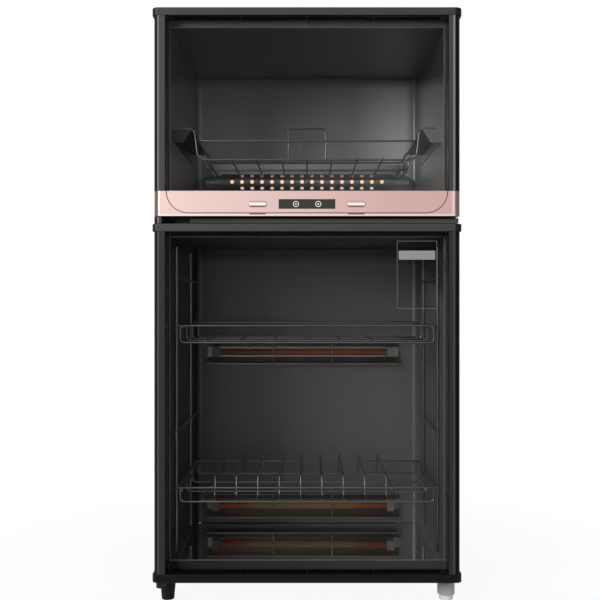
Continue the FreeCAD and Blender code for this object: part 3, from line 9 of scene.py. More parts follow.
import bmesh
import bpy
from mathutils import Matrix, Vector


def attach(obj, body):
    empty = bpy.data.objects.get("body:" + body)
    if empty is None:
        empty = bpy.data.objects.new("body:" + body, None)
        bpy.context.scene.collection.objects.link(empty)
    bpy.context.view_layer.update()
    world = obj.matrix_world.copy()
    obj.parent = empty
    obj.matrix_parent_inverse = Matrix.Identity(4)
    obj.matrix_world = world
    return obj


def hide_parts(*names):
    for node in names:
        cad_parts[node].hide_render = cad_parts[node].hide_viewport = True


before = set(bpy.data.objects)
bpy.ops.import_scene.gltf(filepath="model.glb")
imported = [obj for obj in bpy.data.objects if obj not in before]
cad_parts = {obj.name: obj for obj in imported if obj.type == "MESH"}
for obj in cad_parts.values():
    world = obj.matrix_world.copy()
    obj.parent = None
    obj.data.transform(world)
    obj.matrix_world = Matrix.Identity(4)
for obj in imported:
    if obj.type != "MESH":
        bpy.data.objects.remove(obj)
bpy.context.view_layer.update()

MM = 0.001

# %% [markdown]
# ## Working by hand, in code
# Each piece starts as a primitive at its real size. It is then shaped in edit mode, the way it would be
# with a mouse: pick some faces or edges, and bevel, inset or extrude them. Picking is done by place, so
# these helpers only select, and Blender's own operators do the modelling.

# %% Helpers that select
def alone(obj):
    """Leave only obj selected, and make it active."""
    if bpy.context.object and bpy.context.object.mode != "OBJECT":
        bpy.ops.object.mode_set(mode="OBJECT")
    bpy.ops.object.select_all(action="DESELECT")
    obj.select_set(True)
    bpy.context.view_layer.objects.active = obj


def pick(obj, kind, test):
    """Open obj in edit mode with the VERT, EDGE or FACE items selected whose middle in mm passes test."""
    alone(obj)
    bpy.ops.object.mode_set(mode="EDIT")
    bpy.ops.mesh.select_mode(type=kind)
    bpy.ops.mesh.select_all(action="DESELECT")
    mesh = bmesh.from_edit_mesh(obj.data)
    items = {"VERT": mesh.verts, "EDGE": mesh.edges, "FACE": mesh.faces}[kind]
    count = 0
    for item in items:
        points = [item.co] if kind == "VERT" else [v.co for v in item.verts]
        middle = sum(points, Vector()) / len(points) / MM
        if kind == "EDGE":
            way = (points[1] - points[0]).normalized()
        else:
            way = item.normal
        if test(middle, way):
            item.select_set(True)
            count += 1
    mesh.select_flush_mode()
    bmesh.update_edit_mesh(obj.data)
    return count


def close(obj):
    """Leave edit mode."""
    bpy.ops.object.mode_set(mode="OBJECT")
    return obj


# %% [markdown]
# Two primitives are enough to start with: a block for everything cut from sheet, bar or moulding, and a
# drum for everything turned. Places are given in mm. Each piece keeps its place in its mesh and its object
# stays at the origin, because the patterns of the finishes are read from there.

# %% Helpers that start a piece
def settle(name):
    """Name the active piece, and move its place, turn and size into its mesh."""
    obj = bpy.context.active_object
    obj.name = name
    alone(obj)
    bpy.ops.object.transform_apply(location=True, rotation=True, scale=True)
    return obj


def block(name, x, y, z):
    """A box between two places along each axis."""
    size = [(b - a) * MM for a, b in (x, y, z)]
    middle = [(a + b) / 2 * MM for a, b in (x, y, z)]
    bpy.ops.mesh.primitive_cube_add(size=1, location=middle, scale=size)
    return settle(name)


TURNS = {"X": (0, math.pi / 2, 0), "Y": (math.pi / 2, 0, 0), "Z": (0, 0, 0)}


def drum(name, radius, middle, length, axis="Y", sides=48, tip=None):
    """A cylinder along an axis, or a cone that ends in the tip radius."""
    bpy.ops.mesh.primitive_cone_add(
        vertices=sides, radius1=radius * MM, radius2=(radius if tip is None else tip) * MM,
        depth=length * MM, location=[v * MM for v in middle], rotation=TURNS[axis],
    )
    return settle(name)


def copy_of(obj, name, shift):
    """A copy with its own mesh, moved by shift."""
    alone(obj)
    bpy.ops.object.duplicate()
    bpy.ops.transform.translate(value=[v * MM for v in shift])
    return settle(name)


# %% [markdown]
# Real edges are never knife sharp. A narrow bevel catches the light along them, and the weighted normals
# keep the broad faces flat in spite of it: without them a flat band shows streaks that fan out from its
# corners. Holes and pockets are cut with the exact solver, which leaves a closed mesh.

# %% Helpers that shape and finish a piece
def round_edges(obj, test, radius, segments=8):
    """Bevel the edges that pass the test."""
    if pick(obj, "EDGE", test):
        bpy.ops.mesh.bevel(offset=radius * MM, segments=segments, affect="EDGES")
    return close(obj)


def carve(obj, cutters, operation="DIFFERENCE"):
    """Cut the cutters out of obj, or with UNION weld them on, and throw them away."""
    for cutter in cutters:
        cut = obj.modifiers.new("cut", "BOOLEAN")
        cut.object = cutter
        cut.operation = operation
        cut.solver = "EXACT"
        alone(obj)
        bpy.ops.object.modifier_apply(modifier=cut.name)
        bpy.data.objects.remove(cutter)
    return obj


def join(name, objects):
    """Make one piece of several that don't touch."""
    alone(objects[0])
    for obj in objects[1:]:
        obj.select_set(True)
    bpy.ops.object.join()
    obj = bpy.context.active_object
    obj.name = name
    return obj


SHARP = math.radians(35)  # edges that turn by more than this are bevelled, and stay edges in the shading


def soften(obj, width=0.0):
    """Break every sharp edge by width and shade the piece smooth, with its broad faces kept flat."""
    alone(obj)
    if width:
        edge = obj.modifiers.new("edge", "BEVEL")
        edge.width = width * MM
        edge.segments = 2
        edge.limit_method = "ANGLE"
        edge.angle_limit = SHARP
        edge.use_clamp_overlap = True
        bpy.ops.object.modifier_apply(modifier=edge.name)
    bpy.ops.object.shade_smooth_by_angle(angle=SHARP)
    flat = obj.modifiers.new("flat", "WEIGHTED_NORMAL")
    flat.keep_sharp = True
    bpy.ops.object.modifier_apply(modifier=flat.name)
    return obj


# %% [markdown]
# ## Finishes
# A finish is a node tree round one Principled shader. Sums between numbers are written as Python sums:
# a small class wraps a socket, and each operator adds the Math node that does it. Everything that varies
# is read from Object coordinates, because every piece sits at the origin and keeps its place in its mesh.

# %% A socket that can be added and multiplied
class Number:
    def __init__(self, tree, socket):
        self.tree = tree
        self.socket = socket

    def _math(self, operation, a, b):
        node = self.tree.nodes.new("ShaderNodeMath")
        node.operation = operation
        for slot, value in zip(node.inputs, (a, b)):
            if isinstance(value, Number):
                self.tree.links.new(value.socket, slot)
            else:
                slot.default_value = value
        return Number(self.tree, node.outputs[0])

    def __add__(self, other):
        return self._math("ADD", self, other)

    def __radd__(self, other):
        return self._math("ADD", other, self)

    def __sub__(self, other):
        return self._math("SUBTRACT", self, other)

    def __rsub__(self, other):
        return self._math("SUBTRACT", other, self)

    def __mul__(self, other):
        return self._math("MULTIPLY", self, other)

    def __rmul__(self, other):
        return self._math("MULTIPLY", other, self)

    def __gt__(self, other):
        return self._math("GREATER_THAN", self, other)

    def __or__(self, other):
        return self._math("MAXIMUM", self, other)

    def __abs__(self):
        return self._math("ABSOLUTE", self, 0.0)


# %% [markdown]
# Every other node comes from one method, which takes the node's type, its settings and what goes into its
# sockets. It could be written out node by node, as the editor shows it, but then a finish of ten nodes
# would fill a page and hide what is special about it.

# %% A tree that is filled by one method
class Nodes:
    def __init__(self, tree):
        self.tree = tree
        tree.nodes.clear()

    def node(self, kind, settings=(), **sockets):
        """Add a node: its settings first, then values or links for its sockets, by name or as i0, i1 ..."""
        made = self.tree.nodes.new(kind)
        for key, value in dict(settings).items():
            if key == "stops":
                ramp = made.color_ramp
                while len(ramp.elements) > 1:
                    ramp.elements.remove(ramp.elements[-1])
                ramp.elements[0].position, ramp.elements[0].color = value[0][0], (*value[0][1], 1)
                for place, shade in value[1:]:
                    ramp.elements.new(place).color = (*shade, 1)
            else:
                setattr(made, key, value)
        for key, value in sockets.items():
            by_number = key[0] == "i" and key[1:].isdigit()
            self.feed(made.inputs[int(key[1:]) if by_number else key.replace("_", " ")], value)
        return made

    def feed(self, slot, value):
        """Link a socket or a Number to the slot, or set its value; colours are given without alpha."""
        if isinstance(value, Number):
            value = value.socket
        if isinstance(value, bpy.types.NodeSocket):
            self.tree.links.new(value, slot)
        elif slot.type == "RGBA":
            slot.default_value = (*value, 1)
        else:
            slot.default_value = value


# %% [markdown]
# A finish is such a tree with its shader in place. Its methods are the few things that all the finishes
# of the cabinet are made of: a coordinate, a noise, a ramp of tones, a blend of two colours and a bump.

# %% A finish
class Finish(Nodes):
    def __init__(self, name, colour, roughness, metallic=0.0, **settings):
        self.material = bpy.data.materials.new(name)
        self.material.use_nodes = True
        super().__init__(self.material.node_tree)
        self.shader = self.node("ShaderNodeBsdfPrincipled", Base_Color=colour, Roughness=roughness)
        self.out = self.node("ShaderNodeOutputMaterial", Surface=self.shader.outputs[0])
        self.set("Metallic", metallic)
        for socket, value in settings.items():
            self.set(socket.replace("_", " "), value)

    def set(self, socket, value):
        self.feed(self.shader.inputs[socket], value)

    def coordinates(self):
        return self.node("ShaderNodeTexCoord").outputs["Object"]

    def along(self, axis):
        """The place along X, Y or Z in metres."""
        return Number(self.tree, self.node("ShaderNodeSeparateXYZ", i0=self.coordinates()).outputs[axis])

    def across(self, width):
        """The place along X as a share of a width in mm: 0 at its left end and 1 at its right."""
        return self.along("X") * (1 / (width * MM)) + 0.5

    def noise(self, scale, detail, stretch=(1, 1, 1)):
        place = self.node("ShaderNodeMapping", Vector=self.coordinates(), Scale=stretch).outputs[0]
        made = self.node("ShaderNodeTexNoise", Vector=place, Scale=scale, Detail=detail)
        return Number(self.tree, made.outputs[0])

    def ramp(self, number, stops):
        return self.node("ShaderNodeValToRGB", {"stops": stops}, i0=number).outputs[0]

    def blend(self, factor, first, second):
        """The first colour, going over to the second as the factor grows to 1."""
        mix = self.node("ShaderNodeMix", {"data_type": "RGBA"}, Factor=factor, i6=first, i7=second)
        return mix.outputs[2]

    def bump(self, height, depth, strength):
        """Let a number raise the surface by up to depth in mm."""
        made = self.node("ShaderNodeBump", Height=height, Distance=depth * MM, Strength=strength)
        self.set("Normal", made.outputs[0])

    def skin(self, roughness, grain, depth):
        """The skin of paint and plastic: a slow drift of its roughness, and a grain that is just felt."""
        self.set("Roughness", roughness - 0.05 + 0.10 * self.noise(7.0, 3.0))
        self.bump(self.noise(grain, 2.0), depth, 0.35)


# %% [markdown]
# Most of the cabinet is black, grey or bare metal, so a grey is written as one number. And after each batch
# of finishes it is worth a look at how many nodes they took, because each costs time in every sample.

# %% Grey, and a word on each finish
def grey(tone):
    return (tone, tone, tone)


def tell(*materials):
    """Print each finish and how many nodes it takes."""
    for material in materials:
        print(material.name, "takes", len(material.node_tree.nodes), "nodes")


# %% [markdown]
# Rolled sheet and drawn wire are bare metal with very fine lines. The lines come from noise that is squeezed
# across them and stretched along them, and they change only roughness and bump. A texture would show its
# edges on pieces as long as these. The colour drifts a little on a broad noise of its own.

# %% Rolled and drawn metals
def brushed(name, colour, roughness, spread, stretch):
    """Bare metal with fine lines, which run along the axes that are stretched least."""
    finish = Finish(name, colour, roughness, 1.0)
    lines = finish.noise(9.0, 5.0, stretch)
    finish.set("Roughness", roughness - spread / 2 + spread * lines)
    tones = [(0.3, [c * 0.93 for c in colour]), (0.7, colour)]
    finish.set("Base Color", finish.ramp(finish.noise(3.0, 2.0), tones))
    finish.bump(lines, 0.02, 0.25)
    return finish.material


REFLECTOR = brushed("reflector_steel", (0.40, 0.395, 0.385), 0.30, 0.10, (1, 90, 90))
ZINC = brushed("zinc_sheet", (0.52, 0.53, 0.54), 0.42, 0.16, (4, 4, 4))
CHROME = brushed("chromed_wire", (0.36, 0.36, 0.36), 0.30, 0.10, (40, 40, 40))
BRACKET = brushed("heater_bracket_steel", (0.50, 0.485, 0.46), 0.34, 0.14, (1, 60, 60))
SCREW = brushed("screw_steel", (0.40, 0.39, 0.38), 0.32, 0.12, (30, 30, 30))
tell(REFLECTOR, ZINC, CHROME, BRACKET, SCREW)

# %% [markdown]
# The rooms are lined with dull stainless, and their tone is painted light and shade: lighter at the right,
# where the key lamp reaches in past the left trim, and darkest under the ceiling, where the rim of the mouth
# shades them. A mirror would do that by itself, but it needs many more bounces of light than a render has.
# So the tone follows X on a ramp of painted light and shade, a second ramp of painted shade takes over above
# a sloping line near the ceiling, the flange round the mouth is painted paler, and only the lower floor is a
# true mirror.

# %% The rooms' steel
ROOM_WIDTH = 400
FLANGE_Y = -144.5      # in front of this the sheet is the flange round the mouth
SHADE_DROP = 52        # the shade starts this far under the ceiling, halfway back
SHADE_SLOPE = 0.24     # and sinks by this much for each mm towards the mouth
SHADE_FADE = 18        # it fades in over this height
# The flange tone is painted light: the same steel as the walls, painted paler.
FLANGE_PAINTED_LIGHT, MIRROR_TONE = grey(0.92), grey(0.74)


def room_steel(name, across, ceiling, shade, floor):
    finish = Finish(name, grey(0.6), 0.35)
    # Painted light and shade across the room, by X; the next ramp is painted shade under the ceiling.
    side = finish.ramp(finish.across(ROOM_WIDTH), [(place, grey(tone)) for place, tone in across])
    dim = finish.ramp(finish.across(ROOM_WIDTH), [(place, grey(tone)) for place, tone in shade])
    rise = finish.along("Z") - SHADE_SLOPE * finish.along("Y") - (ceiling - SHADE_DROP) * MM
    shaded = finish.node("ShaderNodeMapRange", {"clamp": True}, i0=rise, i1=0.0, i2=SHADE_FADE * MM)
    tone = finish.blend(shaded.outputs[0], side, dim)
    tone = finish.blend(finish.along("Y") > FLANGE_Y * MM, FLANGE_PAINTED_LIGHT, tone)
    mirror = 1 - (finish.along("Z") > (floor + 1) * MM)
    finish.set("Base Color", finish.blend(mirror, tone, MIRROR_TONE))
    finish.set("Metallic", 0.25 + 0.70 * mirror)
    lines = finish.noise(9.0, 5.0, (1, 1, 90))
    finish.set("Roughness", (0.31 + 0.08 * lines) * (1 - 0.85 * mirror))
    finish.bump(lines, 0.02, 0.25)
    return finish.material


UPPER_FLOOR, UPPER_CEILING = 578, 825
LOWER_FLOOR, LOWER_CEILING = 40, 524
# Painted light and shade by X for the rooms and ledges: darker at the left, lighter towards the right; in
# the upper room a dip over the right back corner is painted shade.
UPPER_PAINTED_LIGHT = [(0.0, 0.50), (0.012, 0.50), (0.04, 0.64), (0.30, 0.44), (0.50, 0.42), (0.72, 0.51)]
UPPER_PAINTED_LIGHT += [(0.87, 0.90), (0.93, 0.99), (0.955, 0.72), (0.968, 0.34), (0.982, 0.40), (0.992, 0.55)]
UPPER_SHADE = [(0.0, 0.30), (0.4, 0.22), (0.7, 0.18), (1.0, 0.16)]
LOWER_PAINTED_LIGHT = [(0.0, 0.05), (0.012, 0.05), (0.04, 0.20), (0.50, 0.25), (0.75, 0.29)]
LOWER_PAINTED_LIGHT += [(0.92, 0.34), (0.965, 0.38), (0.99, 0.38)]
LOWER_SHADE = [(0.0, 0.06), (0.3, 0.08), (1.0, 0.12)]
LEDGE_PAINTED_LIGHT = [(0.0, 0.12), (0.2, 0.12), (0.8, 0.46), (1.0, 0.46)]

NO_MIRROR, NO_SHADE = 500, 900  # heights below and above the upper room, so that neither shows in it
LOWER_SHADE_LINE = 514
STAINLESS = room_steel("upper_room_stainless", UPPER_PAINTED_LIGHT, UPPER_CEILING, UPPER_SHADE, NO_MIRROR)
LOW_STAINLESS = room_steel("lower_room_stainless", LOWER_PAINTED_LIGHT, LOWER_SHADE_LINE, LOWER_SHADE, LOWER_FLOOR)
LEDGE = room_steel("ledge_steel", LEDGE_PAINTED_LIGHT, NO_SHADE, [(0.0, 0.3)], NO_MIRROR)
tell(STAINLESS, LOW_STAINLESS, LEDGE)

# %% [markdown]
# The body is powder coated: black, matt, with a grain like orange peel. On the narrow flange behind the
# doors its colour is painted light: dark grey at the left, lighter at the right, and paler still over the
# upper mouth. The rail in the gap has the same coat in grey, with painted shade that darkens it towards the
# left and a painted shadow of the band along its top edge. Both are masks on one coordinate, which is
# simpler than painting a texture and as sharp as wanted.

# %% Body and rail paint
BODY_WIDTH = 430
GAP_Z = 560            # between the two doors' flanges
PAINT_FLANGE_Y = -145.5
TOP_FLANGE_PAINTED_LIGHT = [(0.0, grey(0.16)), (0.822, grey(0.16)), (0.828, grey(0.44))]  # paler over the mouth, by Z in m


def body_paint(name, colour):
    finish = Finish(name, colour, 0.42, Specular_IOR_Level=0.3)
    # Painted light on the flange round the mouths: below the gap dark at the left and lighter at the right,
    # above it paler over the upper mouth.
    low = finish.ramp(finish.across(BODY_WIDTH), [(0.0, grey(0.045)), (1.0, grey(0.25))])
    top = finish.ramp(finish.along("Z"), TOP_FLANGE_PAINTED_LIGHT)
    flange = finish.blend(finish.along("Z") > GAP_Z * MM, low, top)
    finish.set("Base Color", finish.blend(finish.along("Y") > PAINT_FLANGE_Y * MM, flange, colour))
    finish.skin(0.42, 700.0, 0.04)
    return finish.material


# Painted shade and light along the rail: darker at the left, lighter at the right.
RAIL_PAINTED_SHADING = [(0.1, (0.028, 0.028, 0.025)), (0.4, (0.052, 0.052, 0.046)), (1.0, (0.076, 0.076, 0.068))]
RAIL_SHADE_Z = 547.3


def rail_paint(name):
    finish = Finish(name, grey(0.03), 0.42, Specular_IOR_Level=0.2)
    tone = finish.ramp(finish.across(BODY_WIDTH), RAIL_PAINTED_SHADING)
    # A painted shadow of the band along the rail's top edge.
    shade = finish.along("Z") > RAIL_SHADE_Z * MM
    finish.set("Base Color", finish.blend(shade, tone, grey(0.003)))
    finish.skin(0.42, 700.0, 0.03)
    return finish.material


PAINT = body_paint("body_paint", (0.035, 0.036, 0.038))
RAIL = rail_paint("rail_paint")
tell(PAINT, RAIL)

# %% [markdown]
# The doors' trims are black anodised aluminium, drawn out of the press with faint lines along them. Their
# colour carries painted light: grey next to the glass, a painted highlight where the section turns away, and
# painted shade, near black, on the outer side. The right trim gets a brighter painted highlight and the
# lower trims a darker grey, which are painted light and shade. The caps above and below are moulded to
# match, with painted shade on their ends, and each cap is painted a lighter or darker grey for how it is
# lit. Behind the pane both are seen with a slight sheen, which a clear coat gives; a mask keeps it off the
# outside.

# %% Trims and caps
INSIDE_X, INSIDE_Y = 200, -174.5  # the sheen lies between the trims and behind the pane
TRIM_EDGE, TRIM_WIDE = 199, 16    # a trim's inner edge and its width
# The stops below place painted light: the grey face, the painted highlight, and the painted shade on the
# trims' outer sides and the caps' ends.
TRIM_PAINTED_LIGHT_STOPS = (0.42, 0.46, 0.59, 0.63)  # where the grey ends, the line starts and ends, and black starts
HIGHLIGHT_SHIFT = 1.25                 # the bright lines stand this far left of being even
CAP_REACH, CAP_SHIFT = 220, 2.5   # the same for the caps: from the middle, and to the left
CAP_TURN = (0.950, 0.962)         # where a cap's face ends and its black end starts


def inner_sheen(finish):
    inside = 1 - (abs(finish.along("X")) > INSIDE_X * MM)
    finish.set("Coat Weight", inside * (finish.along("Y") > INSIDE_Y * MM))
    finish.set("Coat Roughness", 0.25)


def trim_finish(name, tone, painted_highlight):
    finish = Finish(name, grey(tone), 0.38, Specular_IOR_Level=0.03)
    inner_sheen(finish)
    far = (abs(finish.along("X") + HIGHLIGHT_SHIFT * MM) - TRIM_EDGE * MM) * (1 / (TRIM_WIDE * MM))
    stops = [(0.0, grey(tone))] + list(zip(TRIM_PAINTED_LIGHT_STOPS, (grey(tone), grey(painted_highlight), grey(painted_highlight), grey(0.007))))
    finish.set("Base Color", finish.ramp(far, stops))
    finish.set("Roughness", 0.34 + 0.10 * finish.noise(12.0, 3.0))
    finish.bump(finish.noise(9.0, 5.0, (90, 90, 1)), 0.01, 0.2)
    return finish.material


def cap_finish(name, tone):
    finish = Finish(name, grey(tone), 0.46, Specular_IOR_Level=0.08)
    inner_sheen(finish)
    far = abs(finish.along("X") + CAP_SHIFT * MM) * (1 / (CAP_REACH * MM))
    stops = [(0.0, grey(tone)), (CAP_TURN[0], grey(tone)), (CAP_TURN[1], grey(0.006)), (1.0, grey(0.006))]
    finish.set("Base Color", finish.ramp(far, stops))
    finish.skin(0.46, 1200.0, 0.03)
    return finish.material


# Each trim and cap below is one finish in its own grey: painted light and shade, lighter or darker for how
# it is lit.
TRIM = trim_finish("upper_left_trim_anodised", 0.061, 0.138)
LIT_RIGHT_TRIM = trim_finish("upper_right_trim_anodised_lit", 0.064, 0.230)
SHADED_LOW_TRIM = trim_finish("lower_trim_anodised_shaded", 0.034, 0.067)
CAP = cap_finish("cap_plastic", 0.048)
LOW_CAP = cap_finish("lower_cap_plastic", 0.060)
SHADED_FOOT_CAP = cap_finish("foot_cap_plastic_shaded", 0.0058)
tell(TRIM, LIT_RIGHT_TRIM, SHADED_LOW_TRIM, CAP, LOW_CAP, SHADED_FOOT_CAP)

# %% [markdown]
# The guard of the upper heater wears a grey heat-proof paint with a dull metal gleam. It is paler on the
# plugged ends than on the pierced part between them, and its left end is paler still, which is painted
# light;
# so its tone follows a ramp along the bar.

# %% Heater paint
# The palest stops at the left end are painted light.
GUARD_TONE_AND_PAINTED_LIGHT = [(0.0, grey(0.76)), (0.088, grey(0.70)), (0.108, grey(0.46))]
GUARD_TONE_AND_PAINTED_LIGHT += [(0.89, grey(0.46)), (0.91, grey(0.54)), (1.0, grey(0.58))]
GUARD_LENGTH = 370


def guard_paint(name):
    finish = Finish(name, grey(0.46), 0.36, 0.55)
    finish.set("Base Color", finish.ramp(finish.across(GUARD_LENGTH), GUARD_TONE_AND_PAINTED_LIGHT))
    finish.skin(0.36, 1100.0, 0.03)
    return finish.material


HEATER_GREY = guard_paint("heater_grey")
tell(HEATER_GREY)

# %% [markdown]
# Moulded plastics, rubber, ceramic and felt differ in colour, in how rough they are and in how coarse their
# grain is, so one recipe serves them all. The base colour wanders by a few percent round its own value,
# because even a plain moulding is never one flat colour.

# %% Plastics, rubber and ceramic
DRIFT = 0.06


def satin(name, colour, roughness, grain=900.0, depth=0.03, **more):
    """Moulded plastic or the like: a fine skin over a slow change of tone."""
    finish = Finish(name, colour, roughness, **more)
    low = [c * (1 - DRIFT) for c in colour]
    high = [min(c * (1 + DRIFT), 1) for c in colour]
    finish.set("Base Color", finish.ramp(finish.noise(6.0, 4.0), [(0.3, low), (0.7, high)]))
    finish.skin(roughness, grain, depth)
    return finish.material


BLACK = satin("black_plastic", grey(0.006), 0.45, Specular_IOR_Level=0.2)
RUBBER = satin("foot_rubber", grey(0.005), 0.72, 500.0, 0.08, Specular_IOR_Level=0.15)
GASKET = satin("door_gasket", grey(0.16), 0.62, 600.0, 0.06)
LIGHT_PLASTIC = satin("levelling_foot_plastic", (0.56, 0.56, 0.555), 0.48)
PAD_PLASTIC = satin("levelling_pad_plastic", (0.92, 0.92, 0.91), 0.5)
CERAMIC = satin("heater_ceramic", (0.50, 0.48, 0.43), 0.65, 400.0, 0.08)
WHITE_PLASTIC = satin("inner_plastic", (0.62, 0.62, 0.60), 0.50)
CIRCUIT = satin("circuit_board", (0.03, 0.14, 0.06), 0.40)
MAGNET = satin("magnet_ferrite", grey(0.05), 0.55)
FELT = satin("mineral_mat", (0.70, 0.67, 0.60), 0.95, 260.0, 0.6)
WINDOW = satin("display_window", (0.033, 0.038, 0.027), 0.14, 1500.0, 0.005, Specular_IOR_Level=0.2)
FRAME_LINE = satin("label_line", grey(0.13), 0.5)
SILVER = satin("label_silver", (0.27, 0.27, 0.265), 0.40)
LAMP_LIGHT = {"Emission_Color": (0.9, 0.92, 0.86), "Emission_Strength": 0.35}
LAMP = satin("indicator_lamp", (0.8, 0.8, 0.78), 0.4, 1500.0, 0.005, **LAMP_LIGHT)
tell(BLACK, RUBBER, GASKET, CERAMIC, WINDOW, LAMP)

# %% [markdown]
# The control band is lacquered in a metallic rose gold: tiny flakes under a clear coat, which tilt the
# surface by a hair. Its base colour follows the X coordinate, from a pale left end to a deeper right end:
# the rose gold with painted light on it. The rounded ends are painted dark, which is painted shade, with a
# painted highlight before them, the strip over the lower edge is a painted highlight, and what lies deeper
# than the face, in the groove, gets painted shade.

# %% Rose gold
# Painted shade on the rounded ends and a painted highlight before each; the pale left end is painted light.
ROSE_END_SHADE, ROSE_HIGHLIGHT = (0.13, 0.052, 0.043), (0.85, 0.62, 0.58)
ROSE_LEFT_LIT = (0.68, 0.505, 0.463)
ROSE_COLOUR_AND_LIGHT = [(0.0, ROSE_END_SHADE), (0.008, ROSE_END_SHADE), (0.013, ROSE_HIGHLIGHT), (0.016, ROSE_HIGHLIGHT)]
ROSE_COLOUR_AND_LIGHT += [(0.019, ROSE_LEFT_LIT), (0.25, (0.72, 0.515, 0.485)), (0.50, (0.70, 0.472, 0.442))]
ROSE_COLOUR_AND_LIGHT += [(0.80, (0.642, 0.410, 0.382)), (0.97, (0.625, 0.400, 0.368))]
ROSE_COLOUR_AND_LIGHT += [(0.975, ROSE_HIGHLIGHT), (0.980, ROSE_HIGHLIGHT), (0.984, ROSE_END_SHADE)]
# A painted highlight on the strip over the lower edge, and painted shade in the groove.
ROSE_EDGE_HIGHLIGHT = (0.86, 0.66, 0.63)
ROSE_GROOVE_SHADE = (0.14, 0.080, 0.073)
EDGE_HIGHLIGHT_TOP = 553.4      # the paler strip ends here
GROOVE_Y = -178.85     # behind this the lacquer is in the groove


def rose(name, roughness):
    finish = Finish(name, ROSE_LEFT_LIT, roughness, 0.35, Coat_Weight=0.15, Coat_Roughness=0.15)
    face = finish.ramp(finish.across(BODY_WIDTH), ROSE_COLOUR_AND_LIGHT)
    face = finish.blend(finish.along("Z") > EDGE_HIGHLIGHT_TOP * MM, ROSE_EDGE_HIGHLIGHT, face)
    finish.set("Base Color", finish.blend(finish.along("Y") > GROOVE_Y * MM, face, ROSE_GROOVE_SHADE))
    flakes = finish.noise(2600.0, 1.0)
    finish.set("Roughness", roughness - 0.06 + 0.12 * flakes)
    finish.bump(flakes, 0.012, 0.3)
    return finish.material


ROSE = rose("rose_gold_lacquer", 0.28)
tell(ROSE)

# %% [markdown]
# The buttons are rose chrome. Chrome shows only what it mirrors: here a bright room before it and a dark
# one under its rim. On a pill this small that would be a few noisy points, so the bright middle and the
# dark rim are written into the metal's colour, across its height and at its two ends.

# %% Button chrome
BUTTON_X, BUTTON_Z = 69, 567.6
PILL = (25.7, 8.0)     # a button's length and height
PILL_RIM = 11.8        # past this far from its middle a pill turns down to its end
RIM, SHOULDER, CROWN = (0.25, 0.15, 0.135), (0.50, 0.34, 0.31), (0.95, 0.86, 0.82)
PILL_TONES = [(0.0, RIM), (0.14, RIM), (0.22, SHOULDER), (0.34, CROWN), (0.66, CROWN), (0.78, SHOULDER)]
PILL_TONES += [(1.0, SHOULDER)]


def button_metal(name):
    finish = Finish(name, (0.9, 0.8, 0.78), 0.14, 1.0)
    rise = (finish.along("Z") - (BUTTON_Z - PILL[1] / 2) * MM) * (1 / (PILL[1] * MM))
    tone = finish.ramp(rise, PILL_TONES)
    end = abs(abs(finish.along("X")) - BUTTON_X * MM) > PILL_RIM * MM
    finish.set("Base Color", finish.blend(end, tone, (0.38, 0.245, 0.225)))
    finish.set("Roughness", 0.20 + 0.08 * finish.noise(60.0, 3.0))
    return finish.material


BUTTON = button_metal("button_chrome")
tell(BUTTON)

# %% [markdown]
# A pane of tinted glass lets most light straight through and mirrors a little. A Transparent shader with
# the tint, mixed with a dark gloss, gives that without bending light, so the rooms stay lit. The
# Fresnel node makes the gloss grow where the pane is seen at a slant. The pane has two faces, so a look
# through it passes the tint twice.

# %% Tinted glass
def pane(name, tint, gloss_colour):
    finish = Finish(name, gloss_colour, 0.03)
    finish.set("Roughness", 0.02 + 0.05 * finish.noise(2.2, 3.0))
    clear = finish.node("ShaderNodeBsdfTransparent", Color=tint).outputs[0]
    slant = Number(finish.tree, finish.node("ShaderNodeFresnel", IOR=1.45).outputs[0])
    mixed = finish.node("ShaderNodeMixShader", i0=0.5 * slant, i1=clear, i2=finish.shader.outputs[0])
    finish.feed(finish.out.inputs["Surface"], mixed.outputs[0])
    return finish.material


GLASS = pane("tinted_glass", grey(0.76), (0.02, 0.02, 0.022))
tell(GLASS)

# %% [markdown]
# Quartz tubes glow yellow where they are hottest and red towards their ends. The tube gives the light off
# itself, so its colour and strength are an emission, and the colour follows the distance from its middle.

# %% Hot quartz
def glow(name, strength, stops, axis="X", middle=0.0, reach=160):
    """A glow whose colour follows the distance from its middle, as a share of its reach in mm."""
    finish = Finish(name, (0.30, 0.12, 0.05), 0.25)
    far = abs(finish.along(axis) - middle * MM) * (1 / (reach * MM))
    finish.set("Emission Color", finish.ramp(far, stops))
    finish.set("Emission Strength", strength)
    return finish.material


YELLOW_HOT = [(0.0, (1.0, 0.88, 0.34)), (0.52, (1.0, 0.84, 0.30)), (0.64, (1.0, 0.24, 0.07))]
YELLOW_HOT += [(0.90, (0.60, 0.06, 0.03))]
PALE_HOT = [(0.0, (1.0, 0.66, 0.42)), (0.7, (1.0, 0.62, 0.40)), (0.95, (0.9, 0.42, 0.20))]
RED_HOT = [(0.0, (1.0, 0.20, 0.03)), (1.0, (0.3, 0.02, 0.01))]
# The lining's glow is painted light, bright on its lower half, with painted shade of the guard on its upper
# half.
LINING_PAINTED_LIGHT = [(0.0, (0.90, 0.86, 0.82)), (0.48, (0.90, 0.86, 0.82)), (0.52, (0.32, 0.33, 0.34))]
LINING_PAINTED_LIGHT += [(1.0, (0.30, 0.31, 0.32))]
TUBE_X = -7            # the lower tubes' middle

GLOW_TOP = glow("glow_upper_tube", 1.75, PALE_HOT, reach=170)
GLOW_LOW = glow("glow_low_tube", 0.054, YELLOW_HOT, middle=TUBE_X)
GLOW_MID = glow("glow_mid_tube", 0.036, RED_HOT, middle=TUBE_X)
